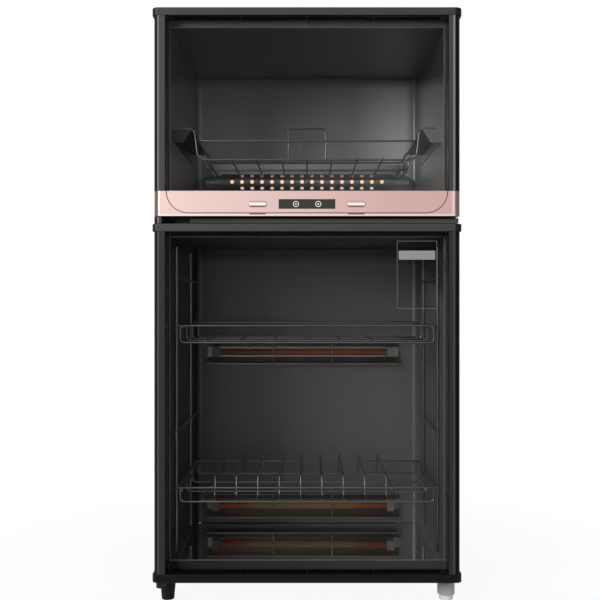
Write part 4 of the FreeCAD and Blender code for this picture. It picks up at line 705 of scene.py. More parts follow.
# The lining glows though it is no lamp: painted light for the inside of the guard, lit by the tube.
PAINTED_GLOW_LINING = glow("heater_lining_painted_glow", 0.95, LINING_PAINTED_LIGHT, axis="Z", middle=626.5, reach=27)
tell(GLOW_TOP, GLOW_LOW, GLOW_MID, PAINTED_GLOW_LINING)
print(len(bpy.data.materials), "materials in the file")

# %% [markdown]
# ## Giving a piece its finish
# A piece gets its material, rides on the body that it moves with, and stands for a CAD node where it shows
# the same thing in more detail. CAD nodes that are good enough as they are stay on show and only get their
# finish.

# %% Dress a piece
def dress(obj, material, body, slot, *nodes):
    obj.data.materials.clear()
    obj.data.materials.append(material)
    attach(obj, body)
    if nodes:
        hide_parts(*nodes)
    return obj


def paint(material, *nodes):
    """Give CAD nodes that stay on show their finish."""
    for node in nodes:
        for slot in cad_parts[node].material_slots:
            slot.material = material


paint(PAINT, "base_plate")
paint(ZINC, "back_panel", "top_hinge_plate")
paint(BLACK, "middle_hinge_plate", "bottom_hinge_plate", "band_cover", "cord_gland")
paint(LEDGE, "basket_ledges")
paint(REFLECTOR, "low_heater_reflector", "mid_heater_reflector")
paint(BRACKET, "upper_heater_bracket")
paint(FELT, "insulation")
paint(GASKET, "upper_door_seal", "lower_door_seal")
paint(GLOW_TOP, "upper_heater_tube")
paint(GLOW_LOW, "low_heater_tube")
paint(GLOW_MID, "mid_heater_tube")
paint(CERAMIC, "heater_holders")
paint(WHITE_PLASTIC, "ozone_generator", "thermal_cutouts", "door_switches")
paint(CIRCUIT, "power_board", "display_board")
paint(GLASS, "upper_door_glass", "lower_door_glass")
paint(MAGNET, "upper_door_magnet", "lower_door_magnet")
print(len(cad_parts), "CAD nodes in the frame")

# %% [markdown]
# ## Door trims
# To round one corner of a block, its edge has to be found first. These small tests say which edges to
# take: those that stand, point forward or lie flat at a given place. They are handed to the helper that
# bevels, and they read almost like the sentence one would say at the bench.

# %% Picks by place
TOUCH = 0.4            # two places this close are the same


def near(value, *places):
    return any(abs(value - place) < TOUCH for place in places)


def upright(*places):
    """Edges along Z that stand at one of the (x, y) places."""
    return lambda m, way: abs(way.z) > 0.99 and any(near(m.x, x) and near(m.y, y) for x, y in places)


def forward(*places):
    """Edges along Y that lie at one of the (x, z) places."""
    return lambda m, way: abs(way.y) > 0.99 and any(near(m.x, x) and near(m.z, z) for x, z in places)


def level(*heights):
    """Edges that lie flat at one of the heights."""
    return lambda m, way: abs(way.z) < 0.01 and near(m.z, *heights)


# %% [markdown]
# The upright trims are hollow extrusions: one long section, rounded a lot at its outer front corner and a
# little at its outer back corner. A slot holds the pane, a chamber takes the ends of the caps, and a narrow
# groove at the back holds the gasket. The section is a box with two bevelled edges; the rest is cut out.

# %% Trims
DOOR_BACK = -152
TRIM_X = (199, 215)
TRIM_FRONT = -179.5
FRONT_ROUND, BACK_ROUND = 9, 6
PANE_Y = (-178.4, -174.0)  # the slot for the glass, front to back
PANE_X = 204.2             # how far out the slot reaches
CHAMBER_X, CHAMBER_Y = (201, 213), (-172, -156)
GASKET_X, GASKET_Y = (201.35, 204.15), (-154.15, -151)
UPPER_TRIM_Z = (586, 832)
LOWER_TRIM_Z = (48.8, 529.3)


def mirrored(side, x):
    """A stretch of X on the right (side 1) or, turned over, on the left (side -1)."""
    return tuple(sorted((side * x[0], side * x[1])))


def trim(name, side, z, finish, body, node):
    piece = block(name, mirrored(side, TRIM_X), (TRIM_FRONT, DOOR_BACK), z)
    round_edges(piece, upright((side * TRIM_X[1], TRIM_FRONT)), FRONT_ROUND, 16)
    round_edges(piece, upright((side * TRIM_X[1], DOOR_BACK)), BACK_ROUND, 10)
    through = (z[0] - 2, z[1] + 2)
    carve(piece, [
        block("slot", mirrored(side, (190, PANE_X)), PANE_Y, through),
        block("chamber", mirrored(side, CHAMBER_X), CHAMBER_Y, through),
        block("groove", mirrored(side, GASKET_X), GASKET_Y, through),
    ])
    soften(piece, 0.25)
    return dress(piece, finish, body, "trim_aluminium", node)


trim("upper_left_trim", -1, UPPER_TRIM_Z, TRIM, "upper_door", "upper_door_left_trim")
trim("upper_right_trim", 1, UPPER_TRIM_Z, LIT_RIGHT_TRIM, "upper_door", "upper_door_right_trim")
trim("lower_left_trim", -1, LOWER_TRIM_Z, SHADED_LOW_TRIM, "lower_door", "lower_door_left_trim")
long_trim = trim("lower_right_trim", 1, LOWER_TRIM_Z, SHADED_LOW_TRIM, "lower_door", "lower_door_right_trim")
print("a lower trim has", len(long_trim.data.polygons), "faces")

# %% [markdown]
# ## End caps
# Each door is closed above or below by a moulded cap, and the band closes the upper door below. All of them
# start from the same block, as wide and as deep as the door, with the trims' roundings at its corners. All
# push two tongues into the hollow trims and hold the glass in a slot, so those are helpers too.

# %% What every cross piece of a door has
TONGUE_X, TONGUE_Y = (201.2, 212.8), (-171.8, -156.2)


def slab(name, half, front, z):
    """A full-width block of a door, rounded at its four upright corners."""
    piece = block(name, (-half, half), (front, DOOR_BACK), z)
    round_edges(piece, upright((half, front), (-half, front)), FRONT_ROUND, 16)
    round_edges(piece, upright((half, DOOR_BACK), (-half, DOOR_BACK)), BACK_ROUND, 10)
    return piece


def tongue_pair(z0, z1):
    return [block("tongue", mirrored(side, TONGUE_X), TONGUE_Y, (z0, z1)) for side in (-1, 1)]


def glass_slot(z):
    return block("slot", (-PANE_X, PANE_X), PANE_Y, z)


# %% [markdown]
# Inside, a cap has ribbed pockets that save plastic, a bore for the hinge pin at the left, and a groove for
# the gasket that turns up or down at both ends. Each is a plain cutter here. The cap could be built up from
# its walls instead, but cutting keeps every wall where the mould would leave it.

# %% The cuts of a cap
GRIP = 5.2             # how deep the glass sits in a cap
PIN = (-207, -166)     # where the hinge pins stand
BORE, BORE_DEPTH = 3.55, 8.7
POCKETS, POCKET_X, RIB = 4, 189, 0.8  # how many, how far out they reach, and half a rib between two
WALL = 2               # left under a pocket
GROOVE = 1.4           # half the height of the gasket's groove


def cap_cuts(z, inner, out, pin_side):
    """Cutters of a cap whose glass enters at the height inner; out is 1 where that is its top."""
    far_side = z[0] if out == 1 else z[1]
    into = 1 if pin_side == z[0] else -1
    start, end = pin_side - 2 * into, pin_side + BORE_DEPTH * into
    cuts = [
        glass_slot(sorted((inner + out, inner - out * GRIP))),
        drum("bore", BORE, (*PIN, (start + end) / 2), abs(end - start), "Z"),
    ]
    for i in range(POCKETS):
        left = -POCKET_X + 2 * POCKET_X / POCKETS * i + (RIB if i else 0)
        right = -POCKET_X + 2 * POCKET_X / POCKETS * (i + 1) - (RIB if i < POCKETS - 1 else 0)
        depth = sorted((inner + out, far_side + out * WALL))
        cuts.append(block("pocket", (left, right), (CHAMBER_Y[0], TONGUE_Y[1]), depth))
    middle = (z[0] + z[1]) / 2
    cuts.append(block("groove", (-GASKET_X[1], GASKET_X[1]), GASKET_Y, (middle - GROOVE, middle + GROOVE)))
    for side in (-1, 1):
        cuts.append(block("groove", mirrored(side, GASKET_X), GASKET_Y, sorted((middle, inner + out))))
    return cuts


# %% [markdown]
# The caps stand a little past the trims in front and at both ends, and their rims are soft, as on any
# moulding. The rim is rounded before anything is cut, so that only the outer edges take the rounding. The
# tongues are welded on last.

# %% Caps
CAP_X = 217.5
CAP_FRONT = -180


def end_cap(name, z, glass_above, pin_side, finish, body, node):
    piece = slab(name, CAP_X, CAP_FRONT, z)
    round_edges(piece, level(*z), 1.0, 4)
    inner, out = (z[1], 1) if glass_above else (z[0], -1)
    carve(piece, cap_cuts(z, inner, out, pin_side))
    carve(piece, tongue_pair(*sorted((inner - out * 0.5, inner + out * 10))), "UNION")
    soften(piece)
    return dress(piece, finish, body, "dark_plastic", node)


UPPER_CAP_Z = (UPPER_TRIM_Z[1], 843)
LOWER_CAP_Z = (LOWER_TRIM_Z[1], 540)
FOOT_CAP_Z = (37, LOWER_TRIM_Z[0])
end_cap("upper_top_cap", UPPER_CAP_Z, False, UPPER_CAP_Z[1], CAP, "upper_door", "upper_door_top_cap")
end_cap("lower_top_cap", LOWER_CAP_Z, False, LOWER_CAP_Z[1], LOW_CAP, "lower_door", "lower_door_top_cap")
foot_cap = end_cap(
    "lower_bottom_cap", FOOT_CAP_Z, True, FOOT_CAP_Z[0], SHADED_FOOT_CAP, "lower_door", "lower_door_bottom_cap"
)
print("the lowest cap has", len(foot_cap.data.polygons), "faces")

# %% [markdown]
# ## The control band
# The face of the band repeats two outlines. One is a plate whose lower corners sweep up in a quarter circle:
# it is the recess, and a little smaller the inset that fills it. The other is a pill: it is a button, and a
# little larger the hole round it. Both are plain blocks with their corners bevelled as far as they go.

# %% Outlines on the band
BAND_X, BAND_FRONT, BAND_Z = 215, -179, (550.5, 586)
WINDOW_X, WINDOW_Z = 39.5, (561, 574.2)
PILL_PLAY, WINDOW_PLAY = 0.3, 0.2
HOLE_Y = (-182, -175)      # right through the face


def swept_plate(name, half, y, foot, top):
    """A plate whose lower corners are rounded almost to the full height of the band's face."""
    piece = block(name, (-half, half), y, (foot, top))
    return round_edges(piece, forward((half, foot), (-half, foot)), BAND_Z[1] - foot - 0.05, 28)


def pill(name, x, length, height, y):
    """A block with half-round ends, at the height of the buttons."""
    z = (BUTTON_Z - height / 2, BUTTON_Z + height / 2)
    piece = block(name, (x - length / 2, x + length / 2), y, z)
    ends = [(x + side * length / 2, end) for side in (-1, 1) for end in z]
    return round_edges(piece, forward(*ends), height / 2 - 0.02, 10)


def face_holes():
    """Cutters for the two buttons and the window, a little larger than they are."""
    length, height = PILL[0] + 2 * PILL_PLAY, PILL[1] + 2 * PILL_PLAY
    holes = [pill("hole", side * BUTTON_X, length, height, HOLE_Y) for side in (-1, 1)]
    x, z = WINDOW_X + WINDOW_PLAY, (WINDOW_Z[0] - WINDOW_PLAY, WINDOW_Z[1] + WINDOW_PLAY)
    return holes + [block("hole", (-x, x), HOLE_Y, z)]


# %% [markdown]
# The band is one moulding under the upper pane, as deep as the door and hollow from behind. It has a shallow
# recess in its face and holes for the buttons and the window. Two light slots hang below the recess, one
# under each button.

# %% Band
RECESS_X, RECESS_FOOT, RECESS_Y = 197.7, 554.5, -178
BAND_HOLLOW = ((-197, 197), (-176.5, -150), (552.5, 578.8))
BAND_SLOT_Z = (580.8, 588)
BAND_BORE = (554.2, 10)    # the middle of its height, and its length
SIDE_GROOVE_Z = 568
LIGHT_X, LIGHT_Z = (57.6, 80.4), (552.9, 554.8)

band = slab("rose_gold_band", BAND_X, BAND_FRONT, BAND_Z)
round_edges(band, level(BAND_Z[0]), 0.8, 4)
band_middle = (BAND_Z[0] + BAND_Z[1]) / 2
cutters = face_holes() + [
    swept_plate("recess", RECESS_X, (HOLE_Y[0], RECESS_Y), RECESS_FOOT, BAND_Z[1] + 3),
    block("hollow", *BAND_HOLLOW),
    glass_slot(BAND_SLOT_Z),
    drum("bore", BORE, (*PIN, BAND_BORE[0]), BAND_BORE[1], "Z"),
    block("groove", (-GASKET_X[1], GASKET_X[1]), GASKET_Y, (band_middle - GROOVE, band_middle + GROOVE)),
]
for side in (-1, 1):
    cutters.append(block("groove", mirrored(side, GASKET_X), GASKET_Y, (SIDE_GROOVE_Z, BAND_SLOT_Z[1])))
    cutters.append(block("light", mirrored(side, LIGHT_X), (HOLE_Y[0], RECESS_Y), LIGHT_Z))
carve(band, cutters)
carve(band, tongue_pair(BAND_Z[1] - 0.5, BAND_Z[1] + 10), "UNION")
soften(band)
dress(band, ROSE, "upper_door", "rose_gold", "control_band")
print("band", len(band.data.polygons), "faces")

# %% [markdown]
# A thin plate fills the recess and leaves a fine groove at its foot and its ends, which is the dark line
# that is seen on the band, with painted shade in the rose finish. A line could be drawn in the finish alone,
# but a groove keeps its depth when it is seen from the side.

# %% Inset face
INSET_X, INSET_FOOT = 196.45, 555.75
inset = swept_plate("inset_face", INSET_X, (BAND_FRONT, RECESS_Y), INSET_FOOT, BAND_Z[1])
carve(inset, face_holes() + [glass_slot(BAND_SLOT_Z)])
soften(inset, 0.18)
dress(inset, ROSE, "upper_door", "rose_gold", "band_insert")
print("inset", len(inset.data.polygons), "faces")

# %% [markdown]
# The buttons are small chromed pills with a rounded rim. Behind the wall each has a flange that stops it
# from falling out, and a stem that reaches its switch. Both are alike, so the left one is modelled and the
# right one is its copy.

# %% Buttons
PILL_Y = (-179.8, -175.2)
PILL_FLANGE, PILL_STEM = (14.25, 5.4), 1.5  # half sizes


def square(name, x, half_x, half_z, y):
    return block(name, (x - half_x, x + half_x), y, (BUTTON_Z - half_z, BUTTON_Z + half_z))


left_pill = pill("left_button_pill", -BUTTON_X, *PILL, PILL_Y)
round_edges(left_pill, lambda m, way: near(m.y, PILL_Y[0]) and abs(way.y) < 0.01, 0.9, 5)
flange = square("flange", -BUTTON_X, *PILL_FLANGE, (PILL_Y[1] - 1, PILL_Y[1]))
stem = square("stem", -BUTTON_X, PILL_STEM, PILL_STEM, (-176, -168.5))
carve(left_pill, [flange, stem], "UNION")
soften(left_pill)
right_pill = copy_of(left_pill, "right_button_pill", (2 * BUTTON_X, 0, 0))
dress(left_pill, BUTTON, "left_button", "button_chrome", "left_button")
dress(right_pill, BUTTON, "right_button", "button_chrome", "right_button")
print("a button has", len(left_pill.data.polygons), "faces")

# %% [markdown]
# The display window is a smoked plate, flush with the band. It shows only two plain ring lamps with a dot
# in the middle of each. A ring could be a torus, but this one is as flat as foil, so it is a thin drum with
# a smaller drum cut out of it.

# %% Display window
window = block("display_glass", (-WINDOW_X, WINDOW_X), (BAND_FRONT, -176), WINDOW_Z)
corners = [(side * WINDOW_X, z) for side in (-1, 1) for z in WINDOW_Z]
round_edges(window, forward(*corners), 1.0, 6)
soften(window, 0.2)
dress(window, WINDOW, "upper_door", "window_plastic", "display_window")

FOIL_Y, FOIL = BAND_FRONT - 0.04, 0.2
RING, EYE, DOT = 4.1, 3.4, 1.0
LEFT_LAMP_X, RIGHT_LAMP_X = -15.5, 15.8
lamp_place = (LEFT_LAMP_X, FOIL_Y, BUTTON_Z)
ring = drum("ring", RING, lamp_place, FOIL, "Y", 64)
carve(ring, [drum("eye", EYE, lamp_place, 1, "Y", 64)])
left_lamp = join("left_lamp", [ring, drum("dot", DOT, lamp_place, FOIL, "Y", 32)])
soften(left_lamp)
right_lamp = copy_of(left_lamp, "right_lamp", (RIGHT_LAMP_X - LEFT_LAMP_X, 0, 0))
for lamp_ring in (left_lamp, right_lamp):
    dress(lamp_ring, LAMP, "upper_door", "window_plastic")
print("a ring lamp has", len(left_lamp.data.polygons), "faces")

# %% [markdown]
# ## The gap between the doors
# A rounded cover at the left carries the line of the trims across the gap and hides the middle hinge. The
# rest of the gap is closed by a folded rail, set back from the doors, with a web behind it. The rail is a
# bar that is hollowed from its left end, so its sheet has a true thickness.

# %% Hinge cover and rail
COVER_Z = (540.5, 550)
cover = block("hinge_gap_cover", (-TRIM_X[1], -204), (TRIM_FRONT, -150.5), COVER_Z)
round_edges(cover, upright((-TRIM_X[1], TRIM_FRONT)), FRONT_ROUND, 16)
carve(cover, [block("hollow", (-213.1, -200), (-172.2, -149), (COVER_Z[0] - 1.5, COVER_Z[1] + 2))])
soften(cover, 0.3)
dress(cover, TRIM, "cabinet", "dark_plastic", "hinge_cover")

RAIL_SHEET = 1.2
RAIL_X, RAIL_Y, RAIL_Z = (-165, 214), (-168, -147), (541.75, 548.75)
RAIL_WEB = ((-197.3, 197.3), (-147, -146), (524.5, 577.5))
RAIL_NOTCH = ((-153, -151.8), (-170, -167.4), (540, 550))
rail = block("gap_rail", RAIL_X, RAIL_Y, RAIL_Z)
carve(rail, [block("web", *RAIL_WEB)], "UNION")
hollow_y, hollow_z = [(span[0] + RAIL_SHEET, span[1] - RAIL_SHEET) for span in (RAIL_Y, RAIL_Z)]
carve(rail, [
    block("hollow", (RAIL_X[0] - 2, RAIL_X[1] - RAIL_SHEET), hollow_y, hollow_z),
    block("notch", *RAIL_NOTCH),
])
soften(rail, 0.35)
dress(rail, RAIL, "cabinet", "rail_paint", "centre_rail")
print("the rail has", len(rail.data.polygons), "faces")

# %% [markdown]
# ## The sheet body
# The outer wrap is one sheet of painted steel, folded over the top and down both sides, with narrow flanges
# at the front and the back. It could be folded up from a plane, bend by bend. Cutting a smaller arch out of
# a larger one is quicker and gives the sheet its true thickness and its outer and inner bend.

# %% Wrap
WRAP_X, WRAP_TOP, WRAP_FOOT = 213.5, 843.5, 36.5
WRAP_Y = (-147, 171)
SHEET = 1
BEND = 4
MOUTH, REAR = (197.5, 825.5), (201.5, 831.5)  # half width and top of the two openings
OPEN_FOOT = 30         # cutters start below the foot


def arch(name, inset, y, foot):
    side, top = WRAP_X - inset, WRAP_TOP - inset
    piece = block(name, (-side, side), y, (foot, top))
    return round_edges(piece, forward((-side, top), (side, top)), BEND - inset, 8)


wrap = arch("painted_wrap", 0, WRAP_Y, WRAP_FOOT)
carve(wrap, [
    arch("inside", SHEET, (WRAP_Y[0] + SHEET, WRAP_Y[1] - SHEET), OPEN_FOOT),
    block("mouth", (-MOUTH[0], MOUTH[0]), (-150, -144), (OPEN_FOOT, MOUTH[1])),
    block("rear", (-REAR[0], REAR[0]), (168, 173), (OPEN_FOOT, REAR[1])),
])
soften(wrap, 0.2)
dress(wrap, PAINT, "cabinet", "body_paint", "outer_wrap")
print("the wrap has", len(wrap.data.polygons), "faces")

# %% [markdown]
# The rooms are boxes pressed from thin stainless, with rounded upright corners at the back and a flange
# round the mouth. Each is cut from a solid block: the outer shape first, then the same shape smaller by the
# sheet. The upper room has five slots in its back.

# %% Rooms
ROOM_X, ROOM_BACK, ROOM_FRONT = 197, 140, -146
CORNER = 12
RIM_X = 211
SLOTS, SLOT_PITCH, SLOT_WIDTH = 5, 11.25, 3
FIRST_SLOT, SLOT_Z = 87.5, (594, 610)
UPPER_FLANGE, LOWER_FLANGE = (546.25, 839), (37.7, 538)
SILL_TOP = 59.6


def room(name, floor, ceiling, flange):
    """A stainless box, open at the front, with a flange round its mouth."""
    side, back = ROOM_X + SHEET, ROOM_BACK + SHEET
    outer = block(name, (-side, side), (ROOM_FRONT, back), (floor - SHEET, ceiling + SHEET))
    round_edges(outer, upright((side, back), (-side, back)), CORNER + SHEET, 14)
    carve(outer, [block("rim", (-RIM_X, RIM_X), (ROOM_FRONT, ROOM_FRONT + SHEET), flange)], "UNION")
    inner = block("inner", (-ROOM_X, ROOM_X), (ROOM_FRONT - 4, ROOM_BACK), (floor, ceiling))
    round_edges(inner, upright((ROOM_X, ROOM_BACK), (-ROOM_X, ROOM_BACK)), CORNER, 14)
    round_edges(inner, lambda m, way: near(m.y, ROOM_BACK) and near(m.z, floor, ceiling), 2.5, 5)
    return carve(outer, [inner])


upper_room = room("upper_room_liner", UPPER_FLOOR, UPPER_CEILING, UPPER_FLANGE)
for i in range(SLOTS):
    left = FIRST_SLOT + i * SLOT_PITCH
    carve(upper_room, [block("slot", (left, left + SLOT_WIDTH), (ROOM_BACK - 2, ROOM_BACK + 3), SLOT_Z)])
soften(upper_room)
dress(upper_room, STAINLESS, "cabinet", "stainless", "upper_liner")

lower_room = room("lower_room_liner", LOWER_FLOOR, LOWER_CEILING, LOWER_FLANGE)
sill = block("sill", (-ROOM_X, ROOM_X), (ROOM_FRONT, ROOM_FRONT + SHEET), (LOWER_FLOOR - 0.5, SILL_TOP))
carve(lower_room, [sill], "UNION")
soften(lower_room)
dress(lower_room, LOW_STAINLESS, "cabinet", "stainless", "lower_liner")
print("room faces", len(upper_room.data.polygons), len(lower_room.data.polygons))

# %% [markdown]
# ## Wires
# Basket, racks and ladders are round wire, bent cold and welded. A wire is written down as its corners, and
# each corner is rounded by a short parabola between two points, the length of the bend away from it. An arc
# would be truer to the bending roller, but in bends this tight nobody can tell them apart.

# %% A path with rounded bends
def bent(corners, bend, closed=False, steps=6):
    """Points of a wire that goes through the corners, with its bends rounded over the length bend."""
    corners = [Vector(c) for c in corners]
    count = len(corners)
    points = [] if closed else [corners[0]]
    for i in range(0 if closed else 1, count if closed else count - 1):
        before, here, after = corners[i - 1], corners[i], corners[(i + 1) % count]
        a, b = (before - here), (after - here)
        reach = min(bend, a.length * 0.45, b.length * 0.45)
        start, end = here + a.normalized() * reach, here + b.normalized() * reach
        for k in range(steps + 1):
            t = k / steps
            points.append(start * (1 - t) ** 2 + here * (2 * t * (1 - t)) + end * t ** 2)
    return points if closed else points + [corners[-1]]


def rod(a, b, radius):
    """The path of a straight wire."""
    return [Vector(a), Vector(b)], radius, False


# %% [markdown]
# Each path is given its thickness as a curve with a round bevel and then turned into a mesh. One curve holds
# all the wires of a piece, and every point carries its wire's radius, so thick and thin wires go together.

# %% Wires from paths
def wires(name, paths):
    """One mesh of round wires; each path is (points, radius, closed)."""
    bpy.ops.curve.primitive_bezier_curve_add(location=(0, 0, 0))
    obj = bpy.context.active_object
    obj.name = name
    curve = obj.data
    curve.dimensions = "3D"
    curve.splines.clear()
    for points, radius, closed in paths:
        spline = curve.splines.new("POLY")
        spline.points.add(len(points) - 1)
        for spot, point in zip(spline.points, points):
            spot.co = (*(Vector(point) * MM), 1)
            spot.radius = radius
        spline.use_cyclic_u = closed
    curve.bevel_depth = MM
    curve.bevel_resolution = 4
    curve.use_fill_caps = True
    alone(obj)
    bpy.ops.object.convert(target="MESH")
    pick(obj, "FACE", lambda m, way: True)
    bpy.ops.mesh.remove_doubles(threshold=0.00001)
    bpy.ops.mesh.normals_make_consistent(inside=False)
    close(obj)
    bpy.ops.object.shade_smooth_by_angle(angle=math.radians(40))
    print(name, len(paths), "wires,", len(obj.data.polygons), "faces")
    return obj


# %% [markdown]
# The basket hangs by three wires that are bent twice on each side and lie on the ledges. A ring ties them
# together halfway up, nine thin wires make the floor, and a hoop at the back is its handle. All of it is
# listed as paths first, because that is how a wire bender works: a length, a bend, a length.

# %% Basket
FRAME_WIRE, FLOOR_WIRE = 1.5, 1.2  # radii
HANGER_Y = (-115, -12.5, 84)
HANGER = [(189, 686), (166, 686), (161, 640)]  # x and z of its bends on the right side
TIE_X, TIE_Y, TIE_Z = 160.6, (-112, 87), 668.5
BASKET_FLOOR_Z, BASKET_FLOOR_Y = 642.7, (-118, 90)
HANDLE_X, HANDLE_Z = 32, (670, 726.5)

paths = []
for y in HANGER_Y:
    corners = [(x, y, z) for x, z in HANGER]
    corners += [(-x, y, z) for x, z in reversed(HANGER)]
    paths.append((bent(corners, 12), FRAME_WIRE, False))
tie = [(-TIE_X, TIE_Y[0]), (TIE_X, TIE_Y[0]), (TIE_X, TIE_Y[1]), (-TIE_X, TIE_Y[1])]
paths.append((bent([(x, y, TIE_Z) for x, y in tie], 6, True), FRAME_WIRE, True))
for i in range(-4, 5):
    ends = [(i * 37.5, y, BASKET_FLOOR_Z) for y in BASKET_FLOOR_Y]
    paths.append(rod(*ends, FLOOR_WIRE))
handle = [(HANDLE_X, z) for z in HANDLE_Z] + [(-HANDLE_X, z) for z in reversed(HANDLE_Z)]
paths.append((bent([(x, TIE_Y[1], z) for x, z in handle], 9), FRAME_WIRE, False))
dress(wires("wire_basket", paths), CHROME, "upper_basket", "wire", "upper_basket")

# %% [markdown]
# Both racks hang from two cross wires that lie on the ladders' rails. Four wires bent to a U carry the
# floor. The upper rack has plain floor wires, and the lower one a row of low hoops that part the plates.

# %% Racks
CROSS_X, CROSS_Y = 194, (-115, 100)
SIDE_X = 184.5
U_X, U_WIRES, U_FIRST, U_PITCH = 187.5, 4, -112.3, 69.87
BOWL_TOP, BOWL_DEPTH, BOWL_FLOOR = 395.7, 25, 373.4
BOWL_WIRES = range(-150, 151, 50)
PLATE_TOP, PLATE_DEPTH, PLATE_FLOOR = 156.7, 21, 138.4
PLATE_WIRES = (-153.5, 134.5)
HOOPS, HOOP_PITCH, HOOP_MIDDLE, HOOP_TOP = 9, 32, -9.5, 172.4
HOOP_FEET, HOOP_SHOULDERS = (-101, 86), (-91, 76)  # places along Y


def rack_frame(top, depth):
    """Paths of the cross wires, the side wires and the U wires that both racks have."""
    paths = [rod((-CROSS_X, y, top), (CROSS_X, y, top), FRAME_WIRE) for y in CROSS_Y]
    side_y = (CROSS_Y[0] - FRAME_WIRE, CROSS_Y[1] + FRAME_WIRE)
    for x in (-SIDE_X, SIDE_X):
        paths.append(rod((x, side_y[0], top - 3), (x, side_y[1], top - 3), FRAME_WIRE))
    for i in range(U_WIRES):
        y = U_FIRST + i * U_PITCH
        u = [(U_X, y, top), (U_X, y, top - depth), (-U_X, y, top - depth), (-U_X, y, top)]
        paths.append((bent(u, 7), FRAME_WIRE, False))
    return paths


def floor_wires(places, z):
    return [rod((x, CROSS_Y[0], z), (x, CROSS_Y[1], z), FLOOR_WIRE) for x in places]


paths = rack_frame(BOWL_TOP, BOWL_DEPTH) + floor_wires(BOWL_WIRES, BOWL_FLOOR)
dress(wires("bowl_rack", paths), CHROME, "upper_rack", "wire", "upper_rack")

paths = rack_frame(PLATE_TOP, PLATE_DEPTH)
hoop = [(CROSS_Y[0], PLATE_FLOOR), (HOOP_FEET[0], PLATE_FLOOR), (HOOP_SHOULDERS[0], HOOP_TOP)]
hoop += [(HOOP_SHOULDERS[1], HOOP_TOP), (HOOP_FEET[1], PLATE_FLOOR), (CROSS_Y[1], PLATE_FLOOR)]
for i in range(HOOPS):
    x = HOOP_MIDDLE + (i - (HOOPS - 1) / 2) * HOOP_PITCH
    paths.append((bent([(x, y, z) for y, z in hoop], 6), FLOOR_WIRE, False))
paths += floor_wires(PLATE_WIRES, PLATE_FLOOR)
dress(wires("plate_rack", paths), CHROME, "lower_rack", "wire", "lower_rack")

# %% [markdown]
# On each side wall of the lower room stands a ladder: two posts, four rails for the racks to slide on, and
# short stubs that hold it to the wall. In front of each lower heater two bent wires keep the dishes off
# the quartz.

# %% Ladders and heater wires
POST_X, POST_Y, POST_Z = 194.5, (-100, 56), (58, 512)
RAIL_WIRE_X, RAIL_WIRE_Y = 192.5, (-117, 105)
RAIL_HEIGHTS = (152.9, 238.2, 391.9, 465.2)
STUB_HEIGHTS = (73, 497)
LADDER_WIRE, STUB_WIRE = 2, 1.6
HEATER_HEIGHTS = (74, 343)  # the axes of the two lower tubes
GUARD_X, GUARD_Y, GUARD_HALF = (-58, 44), (123, 116), 20.4

paths = []
for side in (-1, 1):
    x = side * POST_X
    for y in POST_Y:
        paths.append(rod((x, y, POST_Z[0]), (x, y, POST_Z[1]), LADDER_WIRE))
        paths += [rod((x, y, z), (side * ROOM_X, y, z), STUB_WIRE) for z in STUB_HEIGHTS]
    x = side * RAIL_WIRE_X
    paths += [rod((x, RAIL_WIRE_Y[0], z), (x, RAIL_WIRE_Y[1], z), LADDER_WIRE) for z in RAIL_HEIGHTS]
dress(wires("side_ladders", paths), CHROME, "cabinet", "wire", "rack_ladders")

paths = []
for axis_z in HEATER_HEIGHTS:
    top, foot = axis_z + GUARD_HALF, axis_z - GUARD_HALF
    for x in GUARD_X:
        path = [(x, GUARD_Y[0], top), (x, GUARD_Y[1], top), (x, GUARD_Y[1], foot), (x, GUARD_Y[0], foot)]
        paths.append((bent(path, 3), FLOOR_WIRE, False))
dress(wires("tube_guards", paths), CHROME, "cabinet", "wire", "heater_guard_wires")

# %% [markdown]
# ## The upper heater
# The upper room is warmed by a half-round bar against the back wall. Its grey guard is pierced by three
# rows of round holes, and the glowing tube shines through them. One punch is turned to each row's angle and
# copied along it, and all the punches are joined, so that a single cut makes every hole.

# %% Pierced guard
HEATER_Y, HEATER_Z = 131, 640
GUARD_END, GUARD_R, HOLLOW_R = 149.5, 15.3, 13.9
PUNCH_R, PUNCH_LENGTH, PUNCH_REACH = 3.25, 9, 14.3
PUNCH_PITCH = 17.4
ROWS = ((0, 16), (45, 14), (-45, 14))  # each row's angle and number of holes
BEHIND = (600, 680)    # heights well past the bar, for cutters


def half_round(name, radius, x, y):
    """A half-round bar along X, with its flat side at y."""
    piece = drum(name, radius, ((x[0] + x[1]) / 2, y, HEATER_Z), x[1] - x[0], "X", 96)
    return carve(piece, [block("back", (x[0] - 5, x[1] + 5), (y, y + 40), BEHIND)])


def punch_row(turn, count):
    """The punches of one row, turned from straight ahead by the angle."""
    first = drum("punch", PUNCH_R, (0, 0, PUNCH_REACH), PUNCH_LENGTH, "Z", 24)
    bpy.ops.transform.rotate(value=math.radians(turn - 90), orient_axis="X", center_override=(0, 0, 0))
    place = (-(count - 1) / 2 * PUNCH_PITCH, HEATER_Y, HEATER_Z)
    bpy.ops.transform.translate(value=[v * MM for v in place])
    settle("punch")
    return [first] + [copy_of(first, "punch", (i * PUNCH_PITCH, 0, 0)) for i in range(1, count)]


guard = half_round("pierced_guard", GUARD_R, (-GUARD_END, GUARD_END), HEATER_Y)
carve(guard, [half_round("hollow", HOLLOW_R, (-GUARD_END - 1.5, GUARD_END + 1.5), HEATER_Y - 1)])
punches = [punch for turn, count in ROWS for punch in punch_row(turn, count)]
print(len(punches), "holes in the guard")
carve(guard, [join("punches", punches)])
soften(guard)
dress(guard, HEATER_GREY, "cabinet", "heater_black", "upper_heater_guard")
print("guard", len(guard.data.polygons), "faces")

# %% [markdown]
# Behind the tube lies a strip that glows, though it is no lamp: painted light that stands for the inside of
# the guard lit by the tube, with painted shade of the guard on its upper half. The ends of the bar are
# closed by solid half-round caps with a rounded shoulder, which plug into the guard, and a socket in each
# holds the tube.

